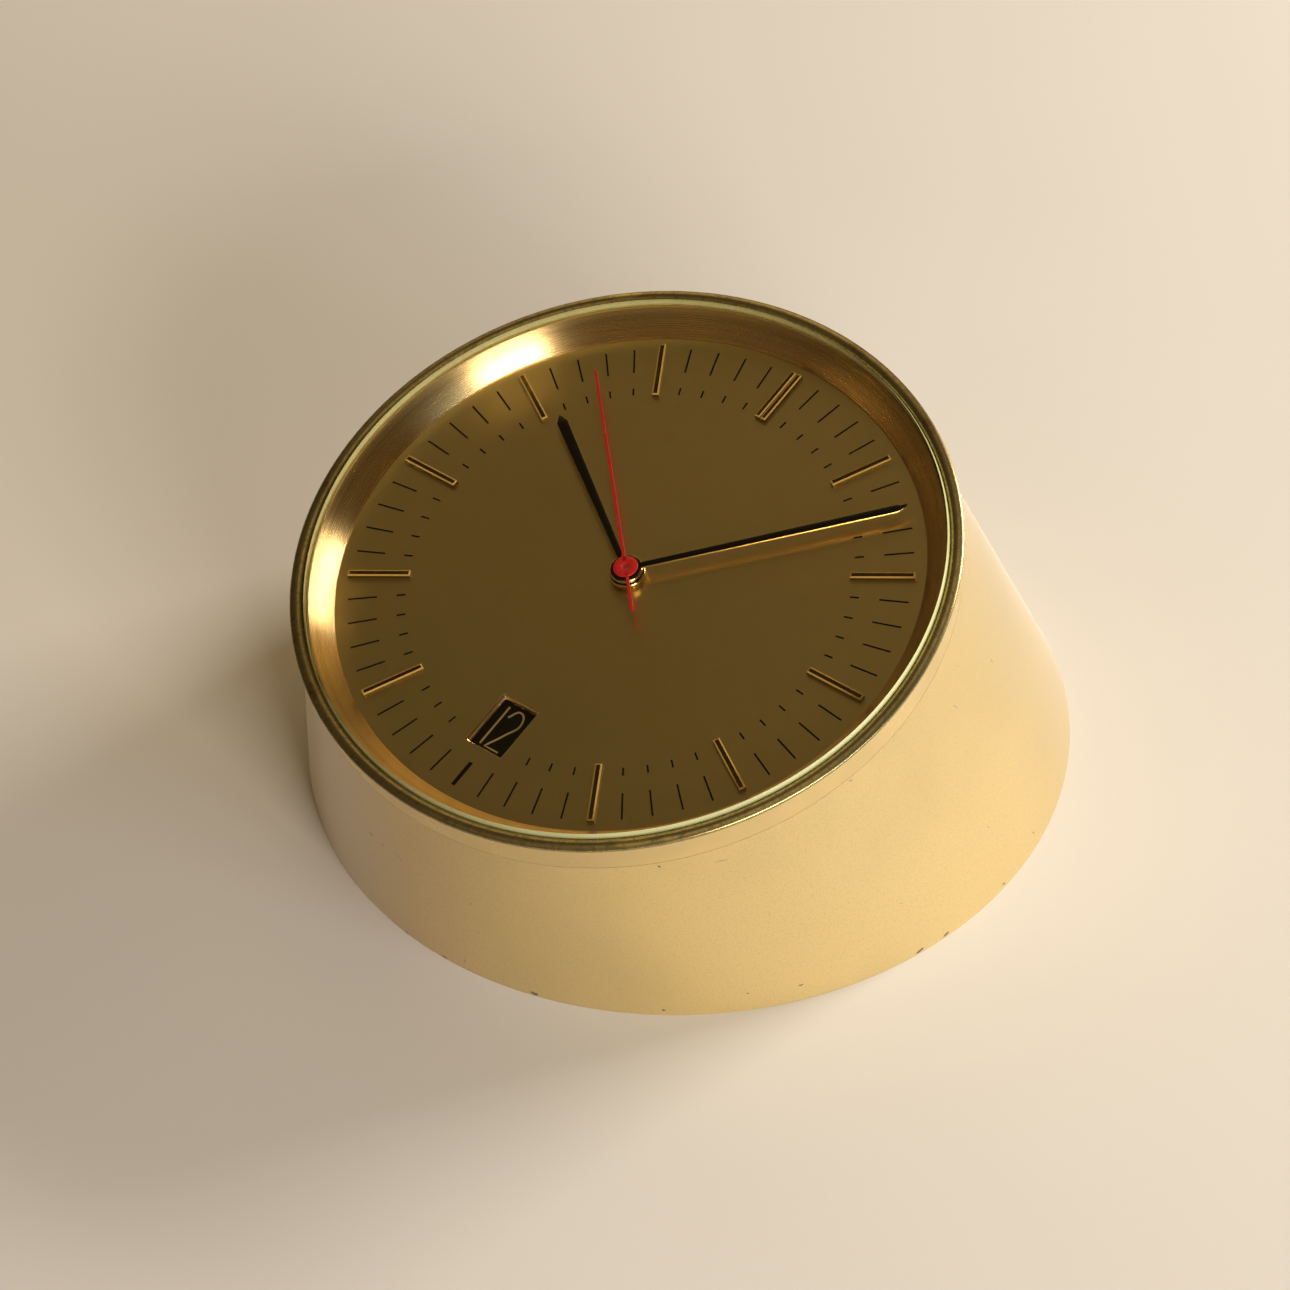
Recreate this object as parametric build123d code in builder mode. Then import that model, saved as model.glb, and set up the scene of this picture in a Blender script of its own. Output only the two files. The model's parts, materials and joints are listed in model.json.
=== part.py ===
from build123d import *
import os
from math import cos, radians, sin, sqrt, tan

# Table clock: a cone of lacquered metal cut aslant by the table, so that its dial faces up and forward.
# Frame: +Z up, the table at Z = 0, the six o'clock side towards -Y, the origin in the middle of the
# box that holds the clock, at table level. "Level" below is a distance along the dial's normal from
# the dial's top face, positive towards the crystal. Lengths are in millimetres, angles in degrees.

# Case
dial_tilt = 14.6
dial_height = 44.31
body_flare = 11.55
body_wall = 2.6
bezel_radius = 52.08
bezel_width = 2.03
bezel_edge = 0.63
bezel_crown = 0.42
band_bottom = -1.3
band_top = 3.9
spigot_inset = 2.75
spigot_length = 6.0
seat_width = 4.2
fit_gap = 0.1

# Glass and the ring that slopes down to the dial
crystal_thickness = 1.5
crystal_bevel = 0.65
flange_width = 3.3
flange_lip = 0.25

# Dial, window and hour markers
dial_hidden_width = 0.8
dial_thickness = 0.8
dial_foot_radius = 0.6
dial_foot_length = 3.0
dial_foot_inset = 4.8
window_width = 6.9
window_length = 9.7
window_inset = 6.25
window_bevel = 0.55
single_marker_hours = (1, 2, 3, 4, 5, 7, 8, 9, 10, 11)
pair_marker_hour = 12
hour_step = 30.0
marker_edge_gap = 1.6
marker_length = 10.0
marker_width = 1.1
marker_height = 0.7
pair_marker_width = 0.95
pair_marker_gap = 0.12
marker_bevel = 0.28

# Hands, at the time that they show
hour_angle = 303.8
minute_angle = 44.5
second_angle = 315.6
hand_thickness = 0.35
hour_tip_gap = 1.4
minute_tip_gap = 0.5
second_tip_gap = 5.4
second_tail = 8.5
hour_root_width = 0.85
hour_wide_width = 1.5
minute_root_width = 0.75
minute_wide_width = 1.15
second_width = 0.36
hand_point = 1.6
hour_hub_radius = 2.7
minute_hub_radius = 2.5
second_hub_radius = 2.05
hour_hand_level = 1.0
minute_hand_level = 1.85
second_hand_level = 2.45
second_hand_thickness = 0.25
hub_drop = 0.2

# Gears
motion_module = 0.4
cannon_teeth = 12
minute_wheel_teeth = 36
minute_pinion_teeth = 10
hour_wheel_teeth = 40
date_module = 0.5
date_drive_teeth = 20
date_wheel_teeth = 40
train_distance = 13.0
centre_wheel_teeth = 64
third_pinion_teeth = 8
third_wheel_teeth = 60
seconds_pinion_teeth = 8
index_teeth = 60
index_radius = 11.2
gear_thickness = 0.8
level_gap = 0.3
running_gap = 0.05
press_gap = 0.02
addendum_share = 0.9
dedendum_share = 1.2
root_width_share = 0.46
tip_width_share = 0.16
wheel_windows = 5
wheel_window_place_share = 0.56
wheel_window_radius_share = 0.23
centre_wheel_drop = 1.2
third_wheel_rise = 3.0

# Arbors and pipes
seconds_arbor_radius = 0.5
seconds_tip_radius = 0.25
pipe_wall = 0.5
stud_radius = 0.8
pivot_radius = 0.5
third_arbor_radius = 0.75
setting_arbor_radius = 1.2
minute_wheel_angle = -60.0
date_wheel_angle = 120.0
third_wheel_angle = 150.0
balance_angle = 0.0

# Calendar
date_ring_inset = 8.8
date_ring_tooth_depth = 1.3
date_ring_teeth = 31
date_ring_thickness = 0.6
date_ring_drop = 0.4
date_side_gap = 0.4
carrier_overhang = 2.0
finger_reach = 8.6
finger_gap = 0.4
finger_width = 1.0
jumper_thickness = 0.6
jumper_inset = 6.0
jumper_width = 1.0
jumper_nose_radius = 0.9
jumper_angle = -35.0

# Movement frame
plate_radius = 31.0
plate_thickness = 1.5
plate_spacing = 12.5
pillar_radius = 2.0
pillar_inset = 3.0
pillar_count = 3
pillar_angle = 90.0
plate_screw_angle = 30.0
screw_radius = 0.9
screw_head_radius = 1.8
screw_head_height = 0.9

# Balance, coil and circuit
balance_radius = 9.0
balance_disc_thickness = 0.6
balance_rim = 1.6
balance_arm = 1.6
balance_hub = 1.9
magnet_radius = 2.0
magnet_thickness = 1.0
magnet_gap = 0.3
coil_radius = 3.4
coil_bore = 1.2
coil_thickness = 0.8
staff_radius = 0.6
index_pin_radius = 0.25
bridge_width = 5.0
bridge_thickness = 1.5
bridge_foot_distance = 12.0
bridge_foot_radius = 2.0
regulator_reach = 9.0
regulator_thickness = 0.6
hairspring_turns = 5
hairspring_turn_steps = 24
hairspring_pitch = 0.6
hairspring_strip_width = 0.16
hairspring_height = 0.5
hairspring_stud_radius = 0.8
board_length = 26.0
board_width = 17.0
board_thickness = 1.2
board_corner = 2.0
board_standoff = 2.6
transistor_radius = 2.4
transistor_height = 4.6
capacitor_height = 9.2
resistor_width = 2.4
resistor_length = 7.2

# Base, battery bay and setting knob
base_recess = 2.0
base_thickness = 2.0
base_gap = 0.4
boss_radius = 4.0
boss_inset_share = 0.75
boss_angle = 52.0
boss_height = 7.0
base_screw_radius = 1.5
base_screw_head = 3.0
base_screw_length = 7.0
countersink_half_angle = 45.0
cell_radius = 7.2
cell_length = 50.0
cell_button_radius = 2.6
cell_button_height = 1.2
cell_room = 0.5
bay_wall = 1.5
bay_foot = 3.5
contact_room = 3.0
contact_thickness = 0.4
lid_gap = 0.4
lid_swing_room = 2.4
lid_rim_width = 5.06
lid_notch_radius = 3.4
knuckle_radius = 1.4
knuckle_length = 6.0
hinge_pin_radius = 0.7
hinge_lug_length = 4.0
knob_radius = 6.5
knob_height = 6.0
knob_floor_gap = 1.0
knob_hole_radius = 13.0
knob_flutes = 16
knob_flute_radius = 0.8

# Radii, each from the one outside it
bezel_bore = bezel_radius - bezel_width
band_radius = bezel_radius - bezel_edge
spigot_radius = band_radius - spigot_inset
seat_bore = spigot_radius - seat_width
crystal_radius = bezel_bore - fit_gap
flange_top_radius = crystal_radius - crystal_bevel
dial_view_radius = flange_top_radius - flange_width
dial_radius = dial_view_radius + dial_hidden_width
dial_foot_ring_radius = dial_radius - dial_foot_inset
marker_outer_radius = dial_view_radius - marker_edge_gap
marker_inner_radius = marker_outer_radius - marker_length
hour_reach = marker_inner_radius - hour_tip_gap
minute_reach = marker_outer_radius - minute_tip_gap
second_reach = marker_outer_radius - second_tip_gap
date_ring_radius = dial_radius - date_ring_inset
window_middle = date_ring_radius - window_inset
pillar_ring_radius = plate_radius - pillar_inset

# Places worked out from the sizes above
tilt_sin = sin(radians(dial_tilt))
tilt_cos = cos(radians(dial_tilt))
flare_slope = tan(radians(body_flare))
oblique = flare_slope * tilt_sin / tilt_cos


def footprint(inset, height):
    """The ellipse where a horizontal plane cuts the body, drawn in by inset from its outside:
    its half width, its half length and its middle, measured in Y from under the dial's centre."""
    drop = dial_height - height
    mean_radius = band_radius - inset + (band_bottom + drop / tilt_cos) * flare_slope
    half_width = mean_radius / sqrt(1 - oblique**2)
    half_length = mean_radius / (1 - oblique**2) / tilt_cos
    middle = (mean_radius * oblique / (1 - oblique**2) + tilt_sin * drop) / tilt_cos
    return half_width, half_length, middle


foot_half_width, foot_half_length, foot_middle = footprint(0, 0)
foot_back = foot_middle + foot_half_length
bezel_land = band_top + bezel_edge
bezel_front = bezel_radius * tilt_cos + bezel_land * tilt_sin
dial_y = (bezel_front - foot_back) / 2

dial_plane = Plane(
    origin=(0, dial_y, dial_height),
    x_dir=(1, 0, 0),
    z_dir=(0, -tilt_sin, tilt_cos),
)
section_plane = Plane(origin=dial_plane.origin, x_dir=(1, 0, 0), z_dir=(0, -tilt_cos, -tilt_sin))
dial_axis = Axis(dial_plane.origin, dial_plane.z_dir)
deepest_level = -(dial_height + foot_back * tilt_sin) / tilt_cos

# Levels of the movement, from the dial downwards
dial_under = -dial_thickness
ring_top = dial_under - date_ring_drop
ring_under = ring_top - date_ring_thickness
carrier_ledge = ring_under - level_gap
date_gear_high = ring_under - level_gap
date_gear_low = date_gear_high - gear_thickness
hour_wheel_high = date_gear_low - level_gap
hour_wheel_low = hour_wheel_high - gear_thickness
motion_high = hour_wheel_low - level_gap
motion_low = motion_high - gear_thickness
carrier_under = motion_low - level_gap
front_plate_under = carrier_under - plate_thickness
rear_plate_top = front_plate_under - plate_spacing
rear_plate_under = rear_plate_top - plate_thickness

centre_wheel_high = front_plate_under - centre_wheel_drop
centre_wheel_low = centre_wheel_high - gear_thickness
third_wheel_low = rear_plate_top + third_wheel_rise
third_wheel_high = third_wheel_low + gear_thickness
index_high = rear_plate_under - 2 * level_gap
index_low = index_high - gear_thickness

# Places of the arbors in the dial's plane
hour_module = motion_module * (cannon_teeth + minute_wheel_teeth) / (minute_pinion_teeth + hour_wheel_teeth)
motion_distance = motion_module * (cannon_teeth + minute_wheel_teeth) / 2
date_distance = date_module * (date_drive_teeth + date_wheel_teeth) / 2
date_ring_tip_radius = date_distance + finger_reach + finger_gap
carrier_bore = date_ring_tip_radius + carrier_overhang
centre_module = 2 * train_distance / (centre_wheel_teeth + third_pinion_teeth)
third_module = 2 * train_distance / (third_wheel_teeth + seconds_pinion_teeth)


def polar(radius, angle):
    """A point of the dial's plane, with the angle counted from three o'clock towards twelve."""
    return radius * cos(radians(angle)), radius * sin(radians(angle))


minute_wheel_place = polar(motion_distance, minute_wheel_angle)
setting_place = polar(2 * motion_distance, minute_wheel_angle)
date_wheel_place = polar(date_distance, date_wheel_angle)
third_place = polar(train_distance, third_wheel_angle)
balance_distance = index_radius + index_pin_radius + staff_radius + 2 * level_gap + index_pin_radius
balance_place = polar(balance_distance, balance_angle)

seconds_bore = seconds_arbor_radius + running_gap
centre_arbor_radius = seconds_bore + pipe_wall
cannon_bore = centre_arbor_radius + press_gap
cannon_pipe_radius = cannon_bore + pipe_wall
hour_bore = cannon_pipe_radius + running_gap
hour_pipe_radius = hour_bore + pipe_wall


def dial_at(level, place=(0, 0), turn=0):
    """A plane parallel to the dial, at a level and a place, turned about the dial's normal."""
    return dial_plane * Location((place[0], place[1], level), (0, 0, turn))


def disc(low, high, radius, bore=0, place=(0, 0)):
    """One step of a turned piece, from the low level to the high one, with or without a bore."""
    with BuildSketch(dial_at(low, place)) as step:
        Circle(radius)
        if bore:
            Circle(bore, mode=Mode.SUBTRACT)
    extrude(step.sketch, amount=high - low)


def hole(low, high, radius, place=(0, 0)):
    """A round hole along the dial's normal."""
    with BuildSketch(dial_at(low, place)) as opening:
        Circle(radius)
    extrude(opening.sketch, amount=high - low, mode=Mode.SUBTRACT)


def turned(corners):
    """A ring or disc turned about the dial's axis from corners of radius and level."""
    with BuildSketch(section_plane) as section:
        with BuildLine():
            Polyline(*corners, close=True)
        make_face()
    revolve(section.sketch, axis=dial_axis)


def gear_points(teeth, module, phase):
    """Corners of a gear's outline, four to a tooth, with one tooth standing at the angle phase."""
    pitch_radius = teeth * module / 2
    tip_radius = pitch_radius + module * addendum_share
    root_radius = pitch_radius - module * dedendum_share
    step = 360 / teeth
    corners = []
    for tooth in range(teeth):
        middle = phase + tooth * step
        corners.append(polar(root_radius, middle - root_width_share * step / 2))
        corners.append(polar(tip_radius, middle - tip_width_share * step / 2))
        corners.append(polar(tip_radius, middle + tip_width_share * step / 2))
        corners.append(polar(root_radius, middle + root_width_share * step / 2))
    return corners


def gear(teeth, module, phase, low, high, place=(0, 0), windows=0, bore=0):
    """A toothed disc, with round windows between its hub and its rim where it is a large wheel."""
    pitch_radius = teeth * module / 2
    with BuildSketch(dial_at(low, place)) as blank:
        Polygon(*gear_points(teeth, module, phase), align=None)
        if windows:
            with PolarLocations(pitch_radius * wheel_window_place_share, windows):
                Circle(pitch_radius * wheel_window_radius_share, mode=Mode.SUBTRACT)
        if bore:
            Circle(bore, mode=Mode.SUBTRACT)
    extrude(blank.sketch, amount=high - low)


def mesh_phase(phase, teeth, direction, other_teeth):
    """The phase of a second gear that lies in this direction, so that its teeth stand in the gaps."""
    passed = (direction - phase) * teeth / 360
    return direction + 180 - (0.5 - passed) * 360 / other_teeth


def save(piece, name):
    """Labels a finished piece and writes it as its own file."""
    piece.part.label = name
    export_step(piece.part, f"parts/{name}.step")


# Body: the hollow cone, open below, with four bosses for the base plate
base_top = base_recess + base_thickness
boss_inset = body_wall + boss_radius * boss_inset_share
boss_half_width, boss_half_length, boss_middle = footprint(boss_inset, base_top)
boss_places = []
for side_x in (-1, 1):
    for side_y in (-1, 1):
        boss_x = side_x * boss_half_width * cos(radians(boss_angle))
        boss_y = dial_y + boss_middle + side_y * boss_half_length * sin(radians(boss_angle))
        boss_places.append((boss_x, boss_y))


def flare_radius(level):
    """The body's outer radius about the dial's axis at a level."""
    return band_radius + (band_bottom - level) * flare_slope


spigot_end = band_bottom - spigot_length
spigot_bore = spigot_radius + fit_gap
cavity_top = spigot_end - level_gap

with BuildPart() as cavity:
    turned(
        [
            (0, band_bottom),
            (spigot_bore, band_bottom),
            (spigot_bore, cavity_top),
            (flare_radius(cavity_top) - body_wall, cavity_top),
            (flare_radius(deepest_level) - body_wall, deepest_level),
            (0, deepest_level),
        ]
    )
    with BuildSketch(Plane.XY.offset(base_top)):
        with Locations(*boss_places):
            Circle(boss_radius)
    extrude(amount=boss_height, mode=Mode.SUBTRACT)

with BuildPart() as body_shell:
    turned(
        [
            (0, band_bottom),
            (band_radius, band_bottom),
            (flare_radius(deepest_level), deepest_level),
            (0, deepest_level),
        ]
    )
    add(cavity.part, mode=Mode.SUBTRACT)
    split(bisect_by=Plane.XY, keep=Keep.TOP)
    with BuildSketch(Plane.XY.offset(base_top)):
        with Locations(*boss_places):
            Circle(base_screw_radius)
    extrude(amount=base_screw_length - base_thickness + fit_gap, mode=Mode.SUBTRACT)
save(body_shell, "body_shell")

# Band: the polished case ring, whose spigot stands in the body and whose ledge carries the movement
dial_bore = dial_radius + fit_gap
flange_bore = flange_top_radius + flange_lip + fit_gap
with BuildPart() as case_band:
    turned(
        [
            (flange_bore, band_top),
            (band_radius, band_top),
            (band_radius, band_bottom),
            (spigot_radius, band_bottom),
            (spigot_radius, spigot_end),
            (seat_bore, spigot_end),
            (seat_bore, carrier_under),
            (dial_bore, carrier_under),
            (dial_bore, 0),
            (flange_bore, 0),
        ]
    )
save(case_band, "case_band")

# Bezel: the crowned brass ring round the glass
with BuildPart() as bezel:
    with BuildSketch(section_plane):
        with BuildLine():
            Polyline(
                (bezel_bore, bezel_land),
                (bezel_bore, band_top),
                (bezel_radius - bezel_edge / 2, band_top),
                (bezel_radius, band_top + bezel_edge / 2),
                (bezel_radius, bezel_land),
            )
            ThreePointArc(
                (bezel_radius, bezel_land),
                ((bezel_radius + bezel_bore) / 2, bezel_land + bezel_crown),
                (bezel_bore, bezel_land),
            )
        make_face()
    revolve(axis=dial_axis)
save(bezel, "bezel")

# Crystal: a flat glass with a bevelled rim, on the band and the flange
crystal_top = band_top + crystal_thickness
with BuildPart() as crystal:
    turned(
        [
            (0, band_top),
            (crystal_radius, band_top),
            (crystal_radius, crystal_top - crystal_bevel),
            (crystal_radius - crystal_bevel, crystal_top),
            (0, crystal_top),
        ]
    )
save(crystal, "crystal")

# Flange: the sloping ring between the glass and the dial
with BuildPart() as dial_flange:
    turned(
        [
            (dial_view_radius, 0),
            (flange_top_radius + flange_lip, 0),
            (flange_top_radius + flange_lip, band_top),
            (flange_top_radius, band_top),
            (dial_view_radius, flange_lip),
        ]
    )
save(dial_flange, "dial_flange")

# Dial: a disc with a window and two feet that stand in the calendar carrier
with BuildPart() as dial:
    hub_opening = hour_pipe_radius + level_gap
    disc(dial_under, 0, dial_radius, hub_opening)
    with BuildSketch(dial_at(dial_under, (0, -window_middle))):
        Rectangle(window_width, window_length)
    extrude(amount=dial_thickness, mode=Mode.SUBTRACT)
    for foot_side in (-1, 1):
        foot_place = (foot_side * dial_foot_ring_radius, 0)
        disc(dial_under - dial_foot_length, dial_under, dial_foot_radius, place=foot_place)
save(dial, "dial")

# Window frame: a polished insert whose sides slope down to the date
with BuildPart() as window_frame:
    with BuildSketch(dial_at(dial_under, (0, -window_middle))):
        Rectangle(window_width - 2 * press_gap, window_length - 2 * press_gap)
    extrude(amount=dial_thickness)
    with BuildSketch(dial_at(dial_under, (0, -window_middle))):
        Rectangle(window_width - 2 * window_bevel, window_length - 2 * window_bevel)
    with BuildSketch(dial_at(0, (0, -window_middle))):
        Rectangle(window_width - 4 * press_gap, window_length - 4 * press_gap)
    loft(mode=Mode.SUBTRACT)
save(window_frame, "date_window_frame")


def marker(hour, width, offset, name):
    """An applied bar with bevelled upper edges, standing on the dial at an hour."""
    with BuildPart() as bar:
        with BuildSketch(dial_at(0, turn=-hour_step * hour)):
            with Locations((offset, marker_inner_radius + marker_length / 2)):
                Rectangle(width, marker_length)
        extrude(amount=marker_height)
        chamfer(bar.faces().sort_by(dial_axis)[-1].edges(), marker_bevel)
    save(bar, name)


# Hour markers: a pair at twelve, none at six, where the date window takes its place
for marker_hour in single_marker_hours:
    marker(marker_hour, marker_width, 0, f"hour_marker_{marker_hour}")
pair_offset = (pair_marker_width + pair_marker_gap) / 2
marker(pair_marker_hour, pair_marker_width, -pair_offset, "hour_marker_12_left")
marker(pair_marker_hour, pair_marker_width, pair_offset, "hour_marker_12_right")


def hand(angle, level, reach, root_width, wide_width, hub_radius, bore, name):
    """A long hand that widens to a short point, on a hub that is pressed on its pipe."""
    with BuildPart() as pointer:
        disc(level - hub_drop, level + hand_thickness, hub_radius, bore)
        with BuildSketch(dial_at(level, turn=-angle)):
            Polygon(
                (-root_width / 2, bore),
                (root_width / 2, bore),
                (wide_width / 2, reach - hand_point),
                (0, reach),
                (-wide_width / 2, reach - hand_point),
                align=None,
            )
        extrude(amount=hand_thickness)
        hole(level - hub_drop, level + hand_thickness, bore)
    save(pointer, name)


hand(
    hour_angle,
    hour_hand_level,
    hour_reach,
    hour_root_width,
    hour_wide_width,
    hour_hub_radius,
    hour_pipe_radius + press_gap,
    "hour_hand",
)
hand(
    minute_angle,
    minute_hand_level,
    minute_reach,
    minute_root_width,
    minute_wide_width,
    minute_hub_radius,
    cannon_pipe_radius + press_gap,
    "minute_hand",
)

# Seconds hand: a thin blade with a tail, on a flat round hub with a dimple
with BuildPart() as seconds_hand:
    second_top = second_hand_level + second_hand_thickness
    disc(second_hand_level, second_top, second_hub_radius, seconds_tip_radius + press_gap)
    with BuildSketch(dial_at(second_hand_level, turn=-second_angle)):
        with Locations((0, (second_reach - second_tail) / 2)):
            Rectangle(second_width, second_reach + second_tail)
        Circle(second_hub_radius / 2, mode=Mode.SUBTRACT)
    extrude(amount=second_hand_thickness)
save(seconds_hand, "seconds_hand")

# Calendar carrier: the ring under the dial, with a track for the date ring
with BuildPart() as calendar_carrier:
    disc(carrier_under, dial_under, dial_radius, carrier_bore)
    hole(carrier_ledge, dial_under, date_ring_radius + date_side_gap)
    for foot_side in (-1, 1):
        foot_hole = dial_foot_radius + fit_gap
        foot_depth = dial_under - dial_foot_length - level_gap
        hole(foot_depth, dial_under, foot_hole, (foot_side * dial_foot_ring_radius, 0))
save(calendar_carrier, "calendar_carrier")

# Date ring: a flat ring with one inner tooth for each day
with BuildPart() as date_ring:
    ring_step = 360 / date_ring_teeth
    tooth_root = date_ring_tip_radius + date_ring_tooth_depth
    ring_corners = []
    for day in range(date_ring_teeth):
        day_angle = day * ring_step
        ring_corners.append(polar(tooth_root, day_angle - (1 - root_width_share) * ring_step / 2))
        ring_corners.append(polar(tooth_root, day_angle + (1 - root_width_share) * ring_step / 2))
        ring_corners.append(polar(date_ring_tip_radius, day_angle + (1 - tip_width_share) * ring_step / 2))
        ring_corners.append(polar(date_ring_tip_radius, day_angle + (1 + tip_width_share) * ring_step / 2))
    with BuildSketch(dial_at(ring_under)):
        Circle(date_ring_radius)
        Polygon(*ring_corners, align=None, mode=Mode.SUBTRACT)
    extrude(amount=date_ring_thickness)
save(date_ring, "date_ring")

# Date jumper: a sprung arm whose nose lies at the date ring's teeth, and its stud
jumper_nose = polar(date_ring_tip_radius - finger_gap, jumper_angle)
jumper_pivot = polar(date_ring_tip_radius - jumper_inset, 0)
jumper_hub = stud_radius + jumper_width
with BuildPart() as date_jumper:
    with BuildSketch(dial_at(ring_under)):
        with BuildLine():
            jumper_line = Line(jumper_pivot, (jumper_nose[0] - jumper_width, jumper_nose[1]))
        trace(jumper_line, jumper_width)
        with Locations((jumper_nose[0] - jumper_width, jumper_nose[1])):
            Circle(jumper_nose_radius)
        with Locations(jumper_pivot):
            Circle(jumper_hub)
            Circle(stud_radius + press_gap, mode=Mode.SUBTRACT)
    extrude(amount=jumper_thickness)
save(date_jumper, "date_jumper")

# Studs that carry the date jumper, the minute wheel and the date wheel, set in the front plate
stud_seat = carrier_under - plate_thickness / 2
with BuildPart() as motion_studs:
    disc(stud_seat, ring_under + jumper_thickness, stud_radius, place=jumper_pivot)
    disc(carrier_under, ring_under, jumper_hub, place=jumper_pivot)
    disc(stud_seat, hour_wheel_high, stud_radius, place=minute_wheel_place)
    disc(carrier_under, motion_low - running_gap, stud_radius + pipe_wall, place=minute_wheel_place)
    disc(stud_seat, date_gear_high, stud_radius, place=date_wheel_place)
    disc(carrier_under, date_gear_low - running_gap, stud_radius + pipe_wall, place=date_wheel_place)
save(motion_studs, "motion_studs")

# Phases of the meshing gears, each worked out from the one that drives it
cannon_phase = minute_wheel_angle
minute_wheel_phase = mesh_phase(cannon_phase, cannon_teeth, minute_wheel_angle, minute_wheel_teeth)
setting_phase = mesh_phase(minute_wheel_phase, minute_wheel_teeth, minute_wheel_angle, cannon_teeth)
minute_pinion_phase = minute_wheel_angle + 180
hour_wheel_phase = mesh_phase(
    minute_pinion_phase, minute_pinion_teeth, minute_wheel_angle + 180, hour_wheel_teeth
)
date_drive_phase = date_wheel_angle
date_wheel_phase = mesh_phase(date_drive_phase, date_drive_teeth, date_wheel_angle, date_wheel_teeth)
centre_wheel_phase = third_wheel_angle
third_pinion_phase = mesh_phase(
    centre_wheel_phase, centre_wheel_teeth, third_wheel_angle, third_pinion_teeth
)
seconds_pinion_phase = third_wheel_angle
third_wheel_phase = mesh_phase(
    seconds_pinion_phase, seconds_pinion_teeth, third_wheel_angle, third_wheel_teeth
)

# Cannon pinion: the pipe that carries the minute hand
minute_hand_top = minute_hand_level + hand_thickness
with BuildPart() as cannon_pinion:
    disc(motion_low, minute_hand_top, cannon_pipe_radius, cannon_bore)
    gear(cannon_teeth, motion_module, cannon_phase, motion_low, motion_high)
    hole(motion_low, motion_high, cannon_bore)
save(cannon_pinion, "cannon_pinion")

# Hour wheel: its pipe runs on the cannon pinion and carries the hour hand
hour_pipe_top = hour_hand_level + hand_thickness
with BuildPart() as hour_wheel:
    gear(hour_wheel_teeth, hour_module, hour_wheel_phase, hour_wheel_low, hour_wheel_high)
    disc(hour_wheel_low, hour_pipe_top, hour_pipe_radius)
    hole(hour_wheel_low, hour_pipe_top, hour_bore)
save(hour_wheel, "hour_wheel")

# Date drive gear: pressed on the hour pipe
with BuildPart() as date_drive_gear:
    gear(date_drive_teeth, date_module, date_drive_phase, date_gear_low, date_gear_high)
    hole(date_gear_low, date_gear_high, hour_pipe_radius + press_gap)
save(date_drive_gear, "date_drive_gear")

# Date wheel: turned once in a day, with a finger that reaches towards the date ring
with BuildPart() as date_wheel:
    gear(
        date_wheel_teeth,
        date_module,
        date_wheel_phase,
        date_gear_low,
        date_gear_high,
        date_wheel_place,
    )
    with BuildSketch(dial_at(date_gear_high, date_wheel_place, date_wheel_angle)):
        with Locations((finger_reach / 2, 0)):
            Rectangle(finger_reach, finger_width)
        Circle(stud_radius + finger_width)
    extrude(amount=ring_top - date_gear_high)
    hole(date_gear_low, ring_top, stud_radius + running_gap, date_wheel_place)
save(date_wheel, "date_wheel")

# Minute wheel and its pinion, running on a stud
with BuildPart() as minute_wheel:
    gear(
        minute_wheel_teeth,
        motion_module,
        minute_wheel_phase,
        motion_low,
        motion_high,
        minute_wheel_place,
    )
    gear(
        minute_pinion_teeth,
        hour_module,
        minute_pinion_phase,
        motion_high,
        hour_wheel_high,
        minute_wheel_place,
    )
    hole(motion_low, hour_wheel_high, stud_radius + running_gap, minute_wheel_place)
save(minute_wheel, "minute_wheel")

# Plates of the movement, with their bearing holes
setting_bore = setting_arbor_radius + running_gap
pivot_bore = pivot_radius + running_gap
pillar_step = 360 / pillar_count
screw_places = [
    polar(pillar_ring_radius, plate_screw_angle + turn * pillar_step) for turn in range(pillar_count)
]
pillar_places = [polar(pillar_ring_radius, pillar_angle + turn * pillar_step) for turn in range(pillar_count)]
with BuildPart() as front_plate:
    disc(front_plate_under, carrier_under, plate_radius)
    hole(front_plate_under, carrier_under, centre_arbor_radius + running_gap)
    hole(front_plate_under, carrier_under, setting_bore, setting_place)
    hole(front_plate_under, carrier_under, pivot_bore, third_place)
    for stud_place in (jumper_pivot, minute_wheel_place, date_wheel_place):
        hole(stud_seat, carrier_under, stud_radius + press_gap, stud_place)
    for screw_place in screw_places:
        hole(front_plate_under, carrier_under, screw_radius + running_gap, screw_place)
save(front_plate, "front_plate")

bridge_feet = [
    (balance_place[0], balance_place[1] + bridge_side * bridge_foot_distance) for bridge_side in (-1, 1)
]
board_place = polar(pillar_ring_radius - board_width / 2, 180)
board_post_places = [
    (board_place[0], board_place[1] + post_side * (board_length / 2 - board_corner - pillar_radius))
    for post_side in (-1, 1)
]
coil_place = (balance_place[0] + balance_radius - balance_rim - magnet_radius / 2, balance_place[1])
coil_post = (balance_place[0] + balance_radius + level_gap + pillar_radius, balance_place[1])
with BuildPart() as rear_plate:
    disc(rear_plate_under, rear_plate_top, plate_radius)
    hole(rear_plate_under, rear_plate_top, seconds_arbor_radius + running_gap)
    hole(rear_plate_under, rear_plate_top, setting_bore, setting_place)
    hole(rear_plate_under, rear_plate_top, pivot_bore, third_place)
    hole(rear_plate_under, rear_plate_top, staff_radius + running_gap, balance_place)
save(rear_plate, "rear_plate")

# Pillars between the plates
with BuildPart() as plate_pillars:
    for pillar_place in pillar_places:
        disc(rear_plate_top, front_plate_under, pillar_radius, place=pillar_place)
save(plate_pillars, "plate_pillars")

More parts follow.
